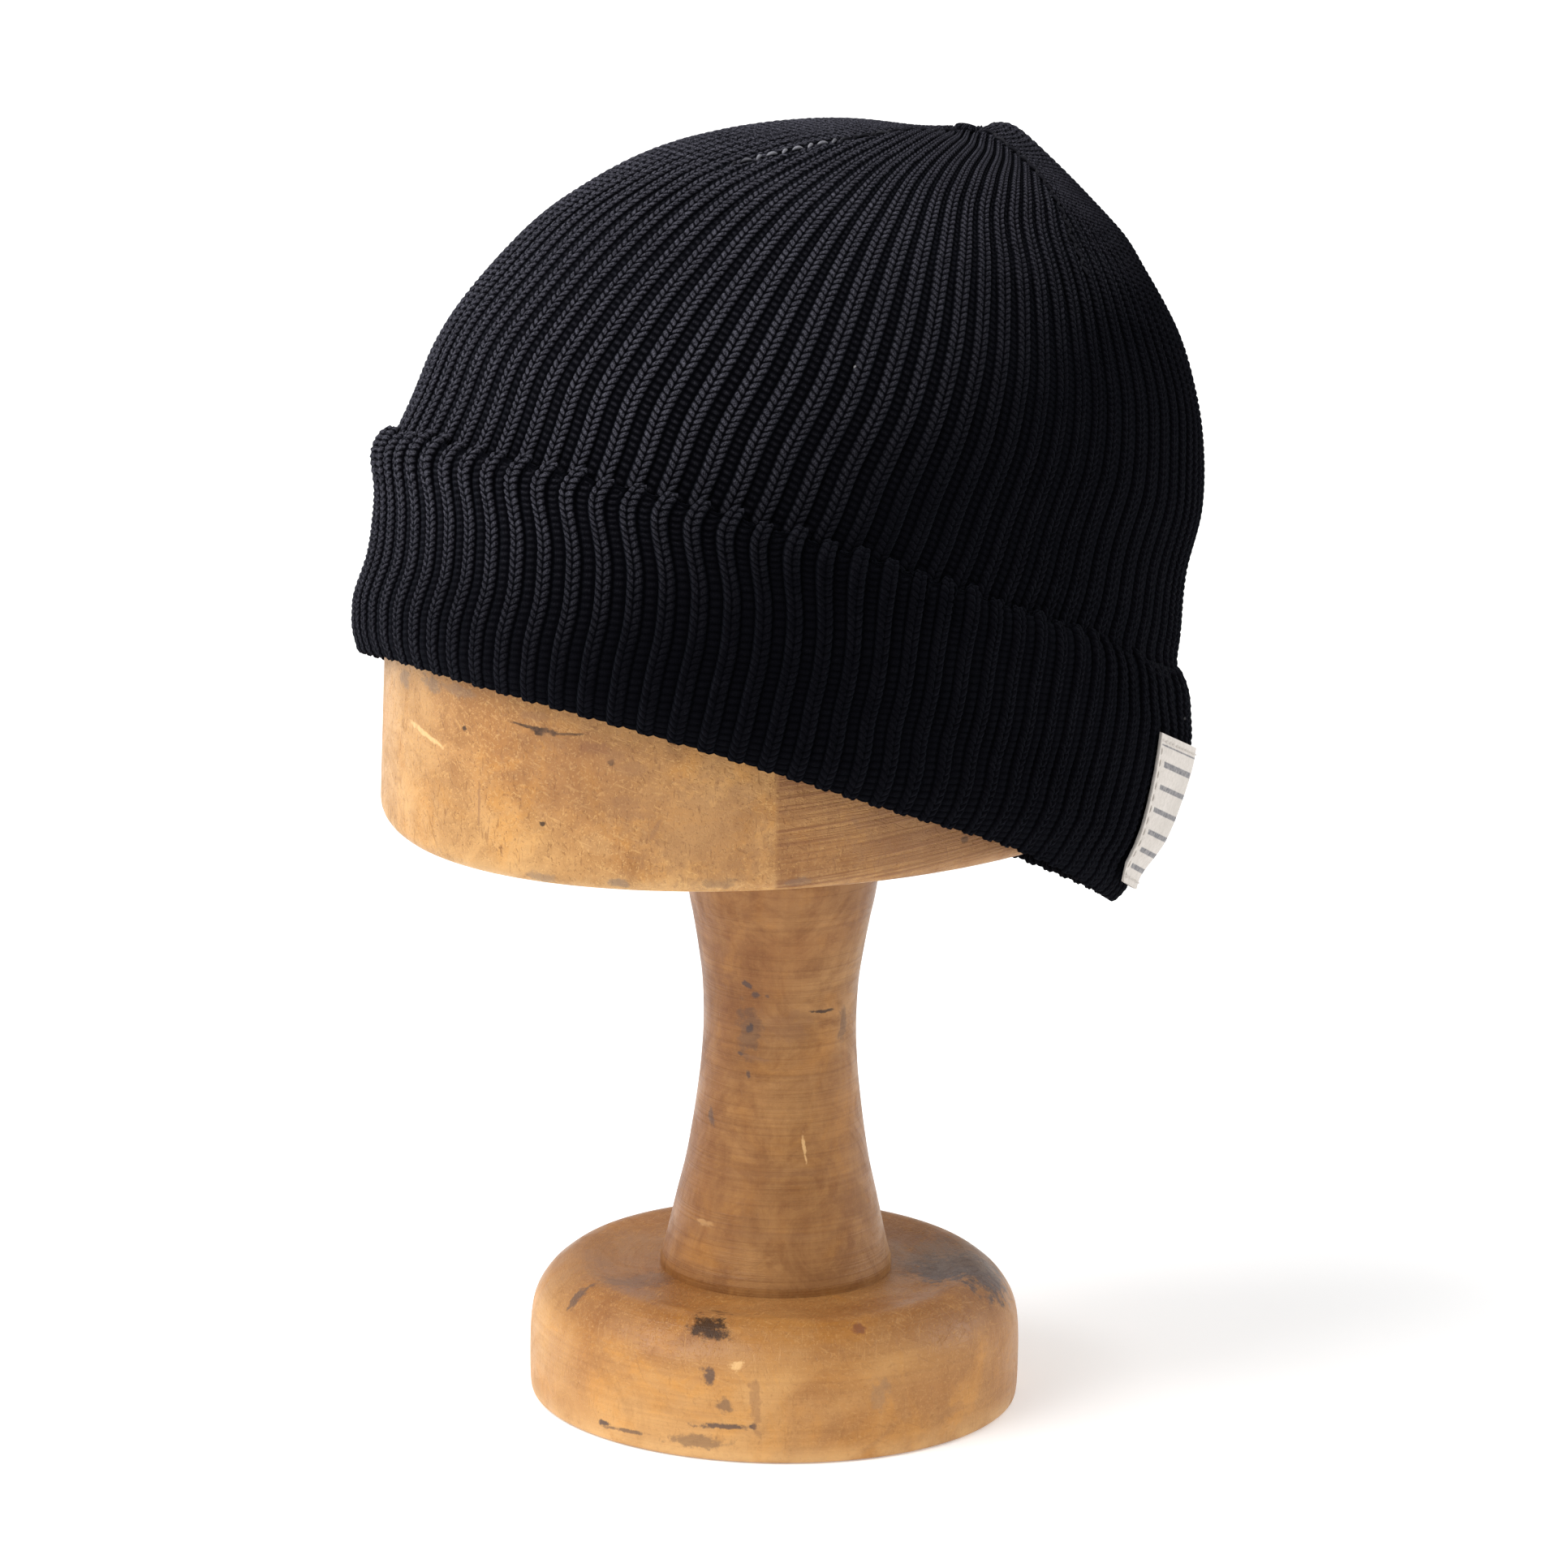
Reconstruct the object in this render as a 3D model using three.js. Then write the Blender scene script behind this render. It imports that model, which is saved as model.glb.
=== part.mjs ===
// Ribbed knit watch cap on a turned wooden hat stand.
// Millimetres, +Z up. The origin is the middle of the stand's underside.
// -Y is the front of the cap and +X is the wearer's left.
import * as THREE from 'three';
import { mergeVertices } from 'three/addons/utils/BufferGeometryUtils.js';

// Driving sizes of the stand
const BASE_DIAMETER = 112.4;
const BASE_HEIGHT = 31.2;
const STEM_LENGTH = 113.2;
const STEM_FOOT_DIAMETER = 53;
const STEM_WAIST_DIAMETER = 35;
const STEM_NECK_DIAMETER = 48;
const BLOCK_LENGTH = 198.5;
const BLOCK_WIDTH = 158.2;
const BLOCK_SETBACK = -4.05;
const BLOCK_TAPER = 0.016;
const BLOCK_EDGE_ROUND = 3.5;
const BLOCK_FRONT_NARROWING = 0.02;
const SEAT_GAP = 0.3;

// Driving sizes of the cap, the tilt in degrees and the oval's fullness an
// exponent, which is 2 for an ellipse
const CAP_TILT = 22.5;
const CAP_DEPTH = 150.7;
const OVAL_FULLNESS = 1.95;
const CAP_SLACK_LENGTH = 9.5;
const CAP_SLACK_WIDTH = 11.8;
const CAP_PUSHED_FORWARD = 5.35;
const FOLD_ABOVE_BLOCK_UNDERSIDE = 7;
const CUFF_HEIGHT = 51.5;
const CUFF_FOLD_DROP = 1.7;
const CUFF_EDGE_DIP = 3.6;
const FOLD_SAG = 4.8;
const APEX_PUCKER = 7;
const PUCKER_FROM_APEX = 9;
const KNIT_WALL = 1.8;
const LAYER_GAP = 0.5;
const BLOCK_CLEARANCE = 1.5;
const RIB_DEPTH = 0.8;
const RIBS_PER_GORE = 21;
const GORE_COUNT = 4;
const DART_LENGTH = 70;
const CUFF_RIB_DRIFT = 9;
const CUFF_RIB_HOOK = 3;
const CUFF_HOOK_START = 0.7;

// Bearings round the cap, in degrees from the front by the wearer's left
const PUCKER_BEARING = 150;
const SAG_BEARING = 140;
const SAG_REACH = 60;
const EDGE_CREST_BEARING = 50;

// Driving sizes of the label, its bearing in degrees from the front
const LABEL_WIDTH = 55;
const LABEL_HEIGHT = 34;
const LABEL_THICKNESS = 0.7;
const LABEL_BEARING = 139.5;
const LABEL_ABOVE_FOLD = 2;
const LABEL_GAP = 0.4;

// How finely each piece is faceted
const STAND_SIDES = 36;
const BLOCK_SIDES = 44;
const BLOCK_DOME_ROWS = 8;
const CROWN_FREE_ROWS = 11;
const CROWN_INNER_ROWS = 9;
const CROWN_ROW_CROWDING = 1.5;
const LINING_RISES = [0, 0.25, 0.5, 0.75, 0.9];
const CUFF_RISES = [0.05, 0.25, 0.5, 0.75, 0.9];
const LABEL_COLUMNS = 8;
const LABEL_ROWS = 4;

// Shares of BASE_HEIGHT and of the base's radius, from the underside up
const BASE_PROFILE = [
  { height: 0, radius: 0.972 },
  { height: 0.026, radius: 0.989 },
  { height: 0.1, radius: 0.998 },
  { height: 0.54, radius: 1 },
  { height: 0.66, radius: 0.99 },
  { height: 0.79, radius: 0.957 },
  { height: 0.905, radius: 0.898 },
  { height: 0.98, radius: 0.818 },
  { height: 1, radius: 0.72 },
];

// Shares of STEM_LENGTH, and how far the radius has flared from the waist
// towards the foot below it and towards the neck above it
const STEM_WAIST_HEIGHT = 0.506;
const STEM_PROFILE = [
  { height: 0, flare: 1 },
  { height: 0.04, flare: 0.87 },
  { height: 0.143, flare: 0.6 },
  { height: 0.213, flare: 0.39 },
  { height: 0.282, flare: 0.256 },
  { height: 0.351, flare: 0.156 },
  { height: 0.42, flare: 0.06 },
  { height: STEM_WAIST_HEIGHT, flare: 0 },
  { height: 0.593, flare: 0.046 },
  { height: 0.662, flare: 0.23 },
  { height: 0.731, flare: 0.43 },
  { height: 0.78, flare: 0.6 },
  { height: 0.87, flare: 0.815 },
  { height: 1, flare: 1 },
];

// Cuff sections: height in shares of CUFF_HEIGHT above the fold, then the
// setback and half length in shares of the cap's half length and the half
// width in shares of its half width
const CUFF_SECTIONS = [
  { height: 0, setback: -0.04, length: 1, width: 1.002 },
  { height: 0.04, setback: -0.039, length: 1.005, width: 1.007 },
  { height: 0.194, setback: -0.028, length: 1.026, width: 1.029 },
  { height: 0.388, setback: -0.02, length: 1.03, width: 1.033 },
  { height: 0.583, setback: -0.034, length: 1.039, width: 1.042 },
  { height: 0.777, setback: -0.064, length: 1.039, width: 1.042 },
  { height: 0.893, setback: -0.083, length: 1.026, width: 1.03 },
  { height: 0.97, setback: -0.092, length: 1.012, width: 1.015 },
  { height: 1, setback: -0.094, length: 1.008, width: 1.011 },
];

// Crown sections above the cuff: height in shares of CAP_DEPTH, the rest as
// for the cuff
const CROWN_SECTIONS = [
  { height: 0.375, setback: -0.094, length: 0.98, width: 0.978 },
  { height: 0.465, setback: -0.104, length: 0.955, width: 0.958 },
  { height: 0.564, setback: -0.079, length: 0.916, width: 0.942 },
  { height: 0.664, setback: -0.059, length: 0.847, width: 0.893 },
  { height: 0.743, setback: -0.046, length: 0.765, width: 0.824 },
  { height: 0.816, setback: -0.025, length: 0.667, width: 0.729 },
  { height: 0.883, setback: 0.007, length: 0.54, width: 0.601 },
  { height: 0.936, setback: 0.045, length: 0.412, width: 0.468 },
  { height: 0.982, setback: 0.08, length: 0.225, width: 0.26 },
  { height: 1, setback: 0.075, length: 0.001, width: 0.001 },
];

// Sizes that follow from the driving ones
const baseTop = BASE_HEIGHT;
const stemFoot = baseTop + SEAT_GAP;
const blockUnderside = stemFoot + STEM_LENGTH + SEAT_GAP;
const capHalfLength = (BLOCK_LENGTH + CAP_SLACK_LENGTH) / 2;
const capHalfWidth = (BLOCK_WIDTH + CAP_SLACK_WIDTH) / 2;
const capSetback = BLOCK_SETBACK - CAP_PUSHED_FORWARD;
const foldHeight = blockUnderside + FOLD_ABOVE_BLOCK_UNDERSIDE;
const liningInset = KNIT_WALL + LAYER_GAP;
const ribCount = RIBS_PER_GORE * GORE_COUNT;
const ribColumns = 2 * ribCount;
const FULL_TURN = 2 * Math.PI;

// The knit lies evenly round an oval: this turns an even share of the turn
// into the oval's own angle
function evenAngle(share) {
  const angle = share * FULL_TURN;
  const flattening = (capHalfLength - capHalfWidth) / (capHalfLength + capHalfWidth);
  return angle + flattening / 2 * Math.sin(2 * angle);
}

// One point of an oval section, with the front at angle 0
function ovalPoint(section, angle, inset = 0) {
  const round = (value) => Math.sign(value) * Math.abs(value) ** (2 / OVAL_FULLNESS);
  const x = (section.width - inset) * round(Math.sin(angle));
  const y = section.setback - (section.length - inset) * round(Math.cos(angle));
  return new THREE.Vector3(x, y, section.height);
}

// A smooth run of sections through the rows of a table, in millimetres
function sectionRun(rows) {
  const sizes = rows.map((row) => new THREE.Vector3(row.length, row.width, row.height));
  const shifts = rows.map((row) => new THREE.Vector3(row.setback, 0, row.height));
  const sizeCurve = new THREE.CatmullRomCurve3(sizes, false, 'catmullrom', 0.5);
  const shiftCurve = new THREE.CatmullRomCurve3(shifts, false, 'catmullrom', 0.5);
  const steps = 16 * (rows.length - 1);
  const run = [];
  for (let step = 0; step <= steps; step += 1) {
    const size = sizeCurve.getPoint(step / steps);
    const setback = shiftCurve.getPoint(step / steps).x;
    run.push({ height: size.z, length: size.x, width: size.y, setback });
  }
  return run;
}

// The section at a height, or at a run length when key is 'run'
function sectionAt(run, value, key = 'height') {
  const last = run.length - 1;
  const clamped = THREE.MathUtils.clamp(value, run[0][key], run[last][key]);
  let index = run.findIndex((section) => section[key] >= clamped);
  index = Math.max(index, 1);
  const below = run[index - 1];
  const above = run[index];
  const share = (clamped - below[key]) / (above[key] - below[key]);
  const blend = (name) => THREE.MathUtils.lerp(below[name], above[name], share);
  return {
    height: blend('height'),
    length: blend('length'),
    width: blend('width'),
    setback: blend('setback'),
  };
}

// A table row in millimetres, its section drawn in by an inset
function sized(row, heightUnit, inset = 0) {
  return {
    height: row.height * heightUnit,
    length: row.length * capHalfLength - inset,
    width: row.width * capHalfWidth - inset,
    setback: row.setback * capHalfLength,
  };
}

const cuffRun = sectionRun(CUFF_SECTIONS.map((row) => sized(row, CUFF_HEIGHT)));

// The crown's own cloth lies inside the cuff up to the cuff's edge and is
// free above it. Each section also knows its run length along the cloth.
function crownSections() {
  const lining = CUFF_SECTIONS.slice(0, -1).map((row) => sized(row, CUFF_HEIGHT, liningInset));
  const free = CROWN_SECTIONS.map((row) => sized(row, CAP_DEPTH));
  const aboveCuff = free.filter((row) => row.height > CUFF_HEIGHT + 2 * KNIT_WALL);
  const run = sectionRun([...lining, ...aboveCuff]);
  run[0].run = 0;
  for (let index = 1; index < run.length; index += 1) {
    const here = run[index];
    const before = run[index - 1];
    const step = Math.hypot(here.height - before.height, here.width - before.width);
    here.run = before.run + step;
  }
  return run;
}

const crownRun = crownSections();
const crownRunEnd = crownRun[crownRun.length - 1].run;
const apexHeight = crownRun[crownRun.length - 1].height;

// The run length at which the crown passes a height
function runAtHeight(height) {
  const index = crownRun.findIndex((section) => section.height >= height);
  return crownRun[index].run;
}

// The gathered cloth puffs up behind the apex, on the wearer's left
function pucker(angle, run) {
  const fromApex = (crownRunEnd - run) / PUCKER_FROM_APEX;
  const swell = fromApex ** 2 * Math.exp(1 - fromApex ** 2);
  const aside = angle - THREE.MathUtils.degToRad(PUCKER_BEARING);
  return APEX_PUCKER * swell * Math.max(0, Math.cos(aside));
}

// A point of the crown's cloth, sunk into it by a depth along its normal
function crownPoint(angle, run, depth = 0) {
  const at = (turn, length) => ovalPoint(sectionAt(crownRun, length, 'run'), turn);
  const point = at(angle, run);
  const turnStep = 0.01;
  const runStep = 0.5;
  const lower = Math.max(run - runStep, 0);
  const upper = Math.min(run + runStep, crownRunEnd - runStep);
  const round = at(angle + turnStep, lower).sub(at(angle - turnStep, lower));
  const rising = at(angle, Math.max(upper, lower + runStep / 2)).sub(at(angle, lower));
  const normal = round.cross(rising).normalize();
  return point.addScaledVector(normal, pucker(angle, run) - depth);
}

// Collects rings of points into one closed skin, each ring anticlockwise
// seen from above, from the outer foot over the top and down the inside
class Skin {
  constructor() {
    this.corners = [];
  }

  triangle(a, b, c) {
    this.corners.push(a, b, c);
  }

  band(first, second) {
    const count = Math.min(first.length, second.length);
    const on = (ring, index) => ring[index % ring.length];
    for (let index = 0; index < count; index += 1) {
      const next = index + 1;
      if (first.length === second.length) {
        this.triangle(on(first, index), on(first, next), on(second, next));
        this.triangle(on(first, index), on(second, next), on(second, index));
      } else if (first.length > second.length) {
        const middle = on(first, 2 * index + 1);
        this.triangle(on(first, 2 * index), middle, on(second, index));
        this.triangle(middle, on(second, next), on(second, index));
        this.triangle(middle, on(first, 2 * next), on(second, next));
      } else {
        const middle = on(second, 2 * index + 1);
        this.triangle(on(first, index), middle, on(second, 2 * index));
        this.triangle(on(first, index), on(first, next), middle);
        this.triangle(on(first, next), on(second, 2 * next), middle);
      }
    }
  }

  bands(rings) {
    for (let index = 1; index < rings.length; index += 1) {
      this.band(rings[index - 1], rings[index]);
    }
  }

  closeOver(ring, point) {
    ring.forEach((corner, index) => {
      this.triangle(corner, ring[(index + 1) % ring.length], point);
    });
  }

  openFrom(point, ring) {
    ring.forEach((corner, index) => {
      this.triangle(point, ring[(index + 1) % ring.length], corner);
    });
  }

  geometry() {
    const soup = new THREE.BufferGeometry().setFromPoints(this.corners);
    const merged = mergeVertices(soup, 0.002);
    const kept = [];
    const index = merged.index.array;
    for (let start = 0; start < index.length; start += 3) {
      const [a, b, c] = index.slice(start, start + 3);
      if (a !== b && b !== c && c !== a) {
        kept.push(a, b, c);
      }
    }
    merged.setIndex(kept);
    merged.computeVertexNormals();
    return merged;
  }
}

// The fold sags where it hangs clear of the block, at the back on the
// wearer's left, and the cuff's top edge dips on either side of its crest
function foldLevel(share) {
  const aside = Math.min(1, Math.abs(share * 360 - SAG_BEARING) / SAG_REACH);
  return -FOLD_SAG * Math.cos(aside * Math.PI / 2) ** 2;
}

function edgeLevel(share) {
  const bearing = share * 360 - EDGE_CREST_BEARING;
  const aside = Math.sin(THREE.MathUtils.degToRad(bearing));
  return CUFF_HEIGHT - CUFF_EDGE_DIP * aside * aside;
}

// The crown: an outer skin of ribs that end at the dart seams near the top,
// and a smooth inner skin one wall inside it
function crownGeometry() {
  const dartRun = crownRunEnd - DART_LENGTH;
  const girth = (run) => sectionAt(crownRun, run, 'run').width;
  const fullGirth = girth(dartRun);
  const goreTurn = 1 / GORE_COUNT;

  function ribbedRing(run) {
    const shrink = Math.min(1, girth(run) / fullGirth);
    const limit = RIBS_PER_GORE / 2 * (run > dartRun ? shrink : 1);
    const ring = [];
    for (let gore = 0; gore < GORE_COUNT; gore += 1) {
      for (let column = 0; column < 2 * RIBS_PER_GORE; column += 1) {
        const offset = column / 2 - RIBS_PER_GORE / 2;
        const held = THREE.MathUtils.clamp(offset, -limit, limit);
        const share = (gore + 0.5 + held / limit / 2) * goreTurn;
        const onRidge = column % 2 === 1 && held === offset;
        ring.push(crownPoint(evenAngle(share), run, onRidge ? 0 : RIB_DEPTH));
      }
    }
    return ring;
  }

  function smoothRing(run, depth, columns) {
    const ring = [];
    for (let column = 0; column < columns; column += 1) {
      ring.push(crownPoint(evenAngle(column / columns), run, depth));
    }
    return ring;
  }

  // The hidden part inside the cuff, from the fold at rise 0 to the cuff's edge
  function liningRing(rise, inset, columns) {
    const ring = [];
    for (let column = 0; column < columns; column += 1) {
      const share = column / columns;
      const height = THREE.MathUtils.lerp(foldLevel(share), CUFF_HEIGHT, rise);
      const section = sectionAt(crownRun, height);
      ring.push(ovalPoint({ ...section, height }, evenAngle(share), inset));
    }
    return ring;
  }

  const freeStart = runAtHeight(CUFF_HEIGHT);
  const spread = (rows, end) => Array.from({ length: rows }, (unused, row) => {
    const left = (1 - row / rows) ** CROWN_ROW_CROWDING;
    return end - (end - freeStart) * left;
  });
  const outerRuns = spread(CROWN_FREE_ROWS, crownRunEnd);
  const innerRuns = spread(CROWN_INNER_ROWS, crownRunEnd - 2 * KNIT_WALL);
  const hiddenRings = LINING_RISES.map((rise) => liningRing(rise, 0, ribCount));
  const outerRings = outerRuns.map(ribbedRing);
  const apexSection = crownRun[crownRun.length - 1];
  const apex = new THREE.Vector3(0, apexSection.setback, apexHeight - RIB_DEPTH);
  const innerApex = new THREE.Vector3(0, apexSection.setback, apexHeight - KNIT_WALL - RIB_DEPTH);
  const innerRings = [
    ...innerRuns.toReversed().map((run) => smoothRing(run, KNIT_WALL, ribCount / 2)),
    ...LINING_RISES.toReversed().map((rise) => liningRing(rise, KNIT_WALL, ribCount / 2)),
  ];

  const skin = new Skin();
  skin.bands([...hiddenRings, ...outerRings]);
  skin.closeOver(outerRings[outerRings.length - 1], apex);
  skin.openFrom(innerApex, innerRings[0]);
  skin.bands([...innerRings, hiddenRings[0]]);
  return skin.geometry();
}

// The cuff's ribs lean sideways as they rise and hook over near the top edge
function cuffAngle(share, rise) {
  const hook = CUFF_RIB_HOOK * THREE.MathUtils.smoothstep(rise, CUFF_HOOK_START, 1);
  const turn = (CUFF_RIB_DRIFT * rise + hook) / (capHalfLength + capHalfWidth) / Math.PI;
  return evenAngle(share - turn);
}

// A point of the cuff: rise is 0 at the fold and 1 at the top edge, lift is
// a height above that, and inset draws it in from the outer face
function cuffPoint(share, rise, lift = 0, inset = 0) {
  const height = THREE.MathUtils.lerp(foldLevel(share), edgeLevel(share), rise) + lift;
  const point = ovalPoint(sectionAt(cuffRun, height), cuffAngle(share, rise), inset);
  point.z = height;
  return point;
}

// The turned-up cuff: a ribbed band with the rounded fold at its foot, which
// runs in under the crown's edge
function cuffGeometry() {
  function ribbedRing(rise, lift, inset) {
    const ring = [];
    for (let column = 0; column < ribColumns; column += 1) {
      const groove = column % 2 === 0 ? RIB_DEPTH : 0;
      ring.push(cuffPoint(column / ribColumns, rise, lift, inset + groove));
    }
    return ring;
  }

  function smoothRing(rise, lift, inset) {
    const ring = [];
    for (let column = 0; column < ribCount; column += 1) {
      ring.push(cuffPoint(column / ribCount, rise, lift, inset));
    }
    return ring;
  }

  const footInset = liningInset + KNIT_WALL;
  const outer = [
    ribbedRing(0, -CUFF_FOLD_DROP, KNIT_WALL - RIB_DEPTH / 2),
    ribbedRing(0, -CUFF_FOLD_DROP / 3, RIB_DEPTH / 3),
    ...CUFF_RISES.map((rise) => ribbedRing(rise, 0, 0)),
    ribbedRing(1, 0, RIB_DEPTH / 3),
  ];
  const inner = [
    smoothRing(1, -RIB_DEPTH / 2, KNIT_WALL),
    ...CUFF_RISES.slice(1).toReversed().map((rise) => smoothRing(rise, 0, KNIT_WALL)),
    smoothRing(0, -LAYER_GAP, KNIT_WALL),
    smoothRing(0, -LAYER_GAP, footInset),
    smoothRing(0, -CUFF_FOLD_DROP, footInset - RIB_DEPTH / 2),
  ];
  const skin = new Skin();
  skin.bands([...outer, ...inner, outer[0]]);
  return skin.geometry();
}

// The label: a thin cloth rectangle that follows the cuff's ribs and rows
function labelGeometry() {
  const girth = (capHalfLength + capHalfWidth) * Math.PI;
  const layer = (depth) => {
    const rings = [];
    for (let row = 0; row <= LABEL_ROWS; row += 1) {
      const rise = (LABEL_ABOVE_FOLD + LABEL_HEIGHT * row / LABEL_ROWS) / CUFF_HEIGHT;
      const line = [];
      for (let column = 0; column <= LABEL_COLUMNS; column += 1) {
        const along = (column / LABEL_COLUMNS - 0.5) * LABEL_WIDTH / girth;
        line.push(cuffPoint(LABEL_BEARING / 360 + along, rise, 0, -depth));
      }
      rings.push(line);
    }
    return rings;
  };
  const back = layer(LABEL_GAP);
  const face = layer(LABEL_GAP + LABEL_THICKNESS);
  const skin = new Skin();
  const quad = (a, b, c, d) => {
    skin.triangle(a, b, c);
    skin.triangle(a, c, d);
  };
  for (let row = 0; row < LABEL_ROWS; row += 1) {
    const up = row + 1;
    for (let column = 0; column < LABEL_COLUMNS; column += 1) {
      const next = column + 1;
      quad(face[row][column], face[row][next], face[up][next], face[up][column]);
      quad(back[row][column], back[up][column], back[up][next], back[row][next]);
    }
    quad(back[row][0], face[row][0], face[up][0], back[up][0]);
    const end = LABEL_COLUMNS;
    quad(face[row][end], back[row][end], back[up][end], face[up][end]);
  }
  for (let column = 0; column < LABEL_COLUMNS; column += 1) {
    const next = column + 1;
    const top = LABEL_ROWS;
    quad(back[0][column], back[0][next], face[0][next], face[0][column]);
    quad(face[top][column], face[top][next], back[top][next], back[top][column]);
  }
  return skin.geometry();
}

// Nested groups place the cap's frame on the stand: its z runs up the cap's
// own axis, which leans back by the tilt
const cap = new THREE.Group();
cap.position.set(0, capSetback, foldHeight);
cap.rotation.x = -THREE.MathUtils.degToRad(CAP_TILT);
cap.updateMatrixWorld(true);

// Whether a point of the stand's frame lies inside the crown's inner face,
// with the block's clearance left over
function insideCrown(point) {
  const local = cap.worldToLocal(point.clone());
  if (local.z < 0) {
    return true;
  }
  const inset = KNIT_WALL + BLOCK_CLEARANCE;
  if (local.z > apexHeight - inset) {
    return false;
  }
  const section = sectionAt(crownRun, local.z);
  const above = sectionAt(crownRun, local.z + 1);
  const lengthInset = inset * Math.hypot(1, section.length - above.length);
  const widthInset = inset * Math.hypot(1, section.width - above.width);
  const halfLength = section.length - lengthInset;
  const halfWidth = section.width - widthInset;
  if (halfLength <= 0 || halfWidth <= 0) {
    return false;
  }
  const along = Math.abs((local.y - section.setback) / halfLength) ** OVAL_FULLNESS;
  const across = Math.abs(local.x / halfWidth) ** OVAL_FULLNESS;
  return along + across < 1;
}

// The hat block: a rounded foot, straight sides, and a dome that fills the
// crown from inside with the block's clearance
function blockGeometry() {
  const halfLength = BLOCK_LENGTH / 2;
  const halfWidth = BLOCK_WIDTH / 2;
  const sideStart = blockUnderside + BLOCK_EDGE_ROUND;

  function insideSides(point) {
    const rise = Math.max(point.z - sideStart, 0);
    const forward = -(point.y - BLOCK_SETBACK) / (halfLength - BLOCK_TAPER * rise);
    const narrowed = halfWidth * (1 - BLOCK_FRONT_NARROWING * forward);
    const sideways = point.x / (narrowed - BLOCK_TAPER * rise);
    return Math.abs(forward) ** OVAL_FULLNESS + Math.abs(sideways) ** OVAL_FULLNESS < 1;
  }

  function cast(origin, direction) {
    let inside = 0;
    let outside = 2 * BLOCK_LENGTH;
    while (outside - inside > 0.001) {
      const middle = (inside + outside) / 2;
      const point = origin.clone().addScaledVector(direction, middle);
      if (insideSides(point) && insideCrown(point)) {
        inside = middle;
      } else {
        outside = middle;
      }
    }
    return inside;
  }

  function castRing(originHeight, elevation, inset = 0) {
    const origin = new THREE.Vector3(0, BLOCK_SETBACK, originHeight);
    const ring = [];
    for (let side = 0; side < BLOCK_SIDES; side += 1) {
      const angle = side / BLOCK_SIDES * FULL_TURN;
      const level = new THREE.Vector3(
        halfWidth * Math.sin(angle),
        -halfLength * Math.cos(angle),
        0,
      ).normalize();
      const direction = level.multiplyScalar(Math.cos(elevation));
      direction.z = Math.sin(elevation);
      const distance = cast(origin, direction) - inset;
      ring.push(origin.clone().addScaledVector(direction, distance));
    }
    return ring;
  }

  const rings = [];
  const roundSteps = 3;
  for (let step = 0; step <= roundSteps; step += 1) {
    const turn = step / roundSteps * Math.PI / 2;
    const height = blockUnderside + BLOCK_EDGE_ROUND * (1 - Math.sin(turn));
    rings.unshift(castRing(height, 0, BLOCK_EDGE_ROUND * (1 - Math.cos(turn))));
  }
  const domeOrigin = foldHeight + CUFF_HEIGHT / 2;
  const sideMiddle = (sideStart + domeOrigin) / 2;
  rings.push(castRing(sideMiddle, 0));
  for (let row = 0; row < BLOCK_DOME_ROWS; row += 1) {
    const elevation = row / BLOCK_DOME_ROWS * Math.PI / 2;
    rings.push(castRing(domeOrigin, elevation));
  }
  const upward = new THREE.Vector3(0, 0, 1);
  const domeFoot = new THREE.Vector3(0, BLOCK_SETBACK, domeOrigin);
  const top = domeFoot.clone().addScaledVector(upward, cast(domeFoot, upward));
  const skin = new Skin();
  skin.openFrom(new THREE.Vector3(0, BLOCK_SETBACK, blockUnderside), rings[0]);
  skin.bands(rings);
  skin.closeOver(rings[rings.length - 1], top);
  return skin.geometry();
}

// A turned piece from a profile of radius and height, closed on its axis
function turned(profile) {
  const first = profile[0];
  const last = profile[profile.length - 1];
  const closed = [
    new THREE.Vector2(0, first.y),
    ...profile,
    new THREE.Vector2(0, last.y),
  ];
  return new THREE.LatheGeometry(closed, STAND_SIDES).rotateX(Math.PI / 2);
}

function baseGeometry() {
  const radius = BASE_DIAMETER / 2;
  return turned(BASE_PROFILE.map((row) => (
    new THREE.Vector2(row.radius * radius, row.height * BASE_HEIGHT)
  )));
}

function stemGeometry() {
  const waist = STEM_WAIST_DIAMETER / 2;
  return turned(STEM_PROFILE.map((row) => {
    const end = row.height < STEM_WAIST_HEIGHT ? STEM_FOOT_DIAMETER / 2 : STEM_NECK_DIAMETER / 2;
    const radius = waist + row.flare * (end - waist);
    return new THREE.Vector2(radius, row.height * STEM_LENGTH);
  }));
}

const knit = new THREE.MeshStandardMaterial({ color: 0x17191f, roughness: 0.95, metalness: 0 });
const cotton = new THREE.MeshStandardMaterial({ color: 0xe4ded2, roughness: 0.9, metalness: 0 });
const beech = new THREE.MeshStandardMaterial({ color: 0xc99a62, roughness: 0.5, metalness: 0 });

function piece(name, geometry, material) {
  const mesh = new THREE.Mesh(geometry, material);
  mesh.name = name;
  return mesh;
}

const watchCap = new THREE.Group();
const stand = new THREE.Group();
const stem = piece('stem', stemGeometry(), beech);
stem.position.z = stemFoot;
stand.add(piece('base', baseGeometry(), beech));
stand.add(stem);
stand.add(piece('hat_block', blockGeometry(), beech));
cap.add(piece('crown', crownGeometry(), knit));
cap.add(piece('cuff', cuffGeometry(), knit));
cap.add(piece('label', labelGeometry(), cotton));
watchCap.add(stand);
watchCap.add(cap);

export default watchCap;
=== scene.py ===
"""A ribbed knit watch cap on a turned wooden hat stand: the looks of every piece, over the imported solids.

Metres, +Z up, -Y the front of the cap and +X the wearer's left. The sections follow the object from the
ground up: base, stem and hat block, then the cap's crown, cuff, inner band, dart seams and label.
"""
import math

import bpy
import numpy as np
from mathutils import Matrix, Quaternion, Vector


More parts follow.
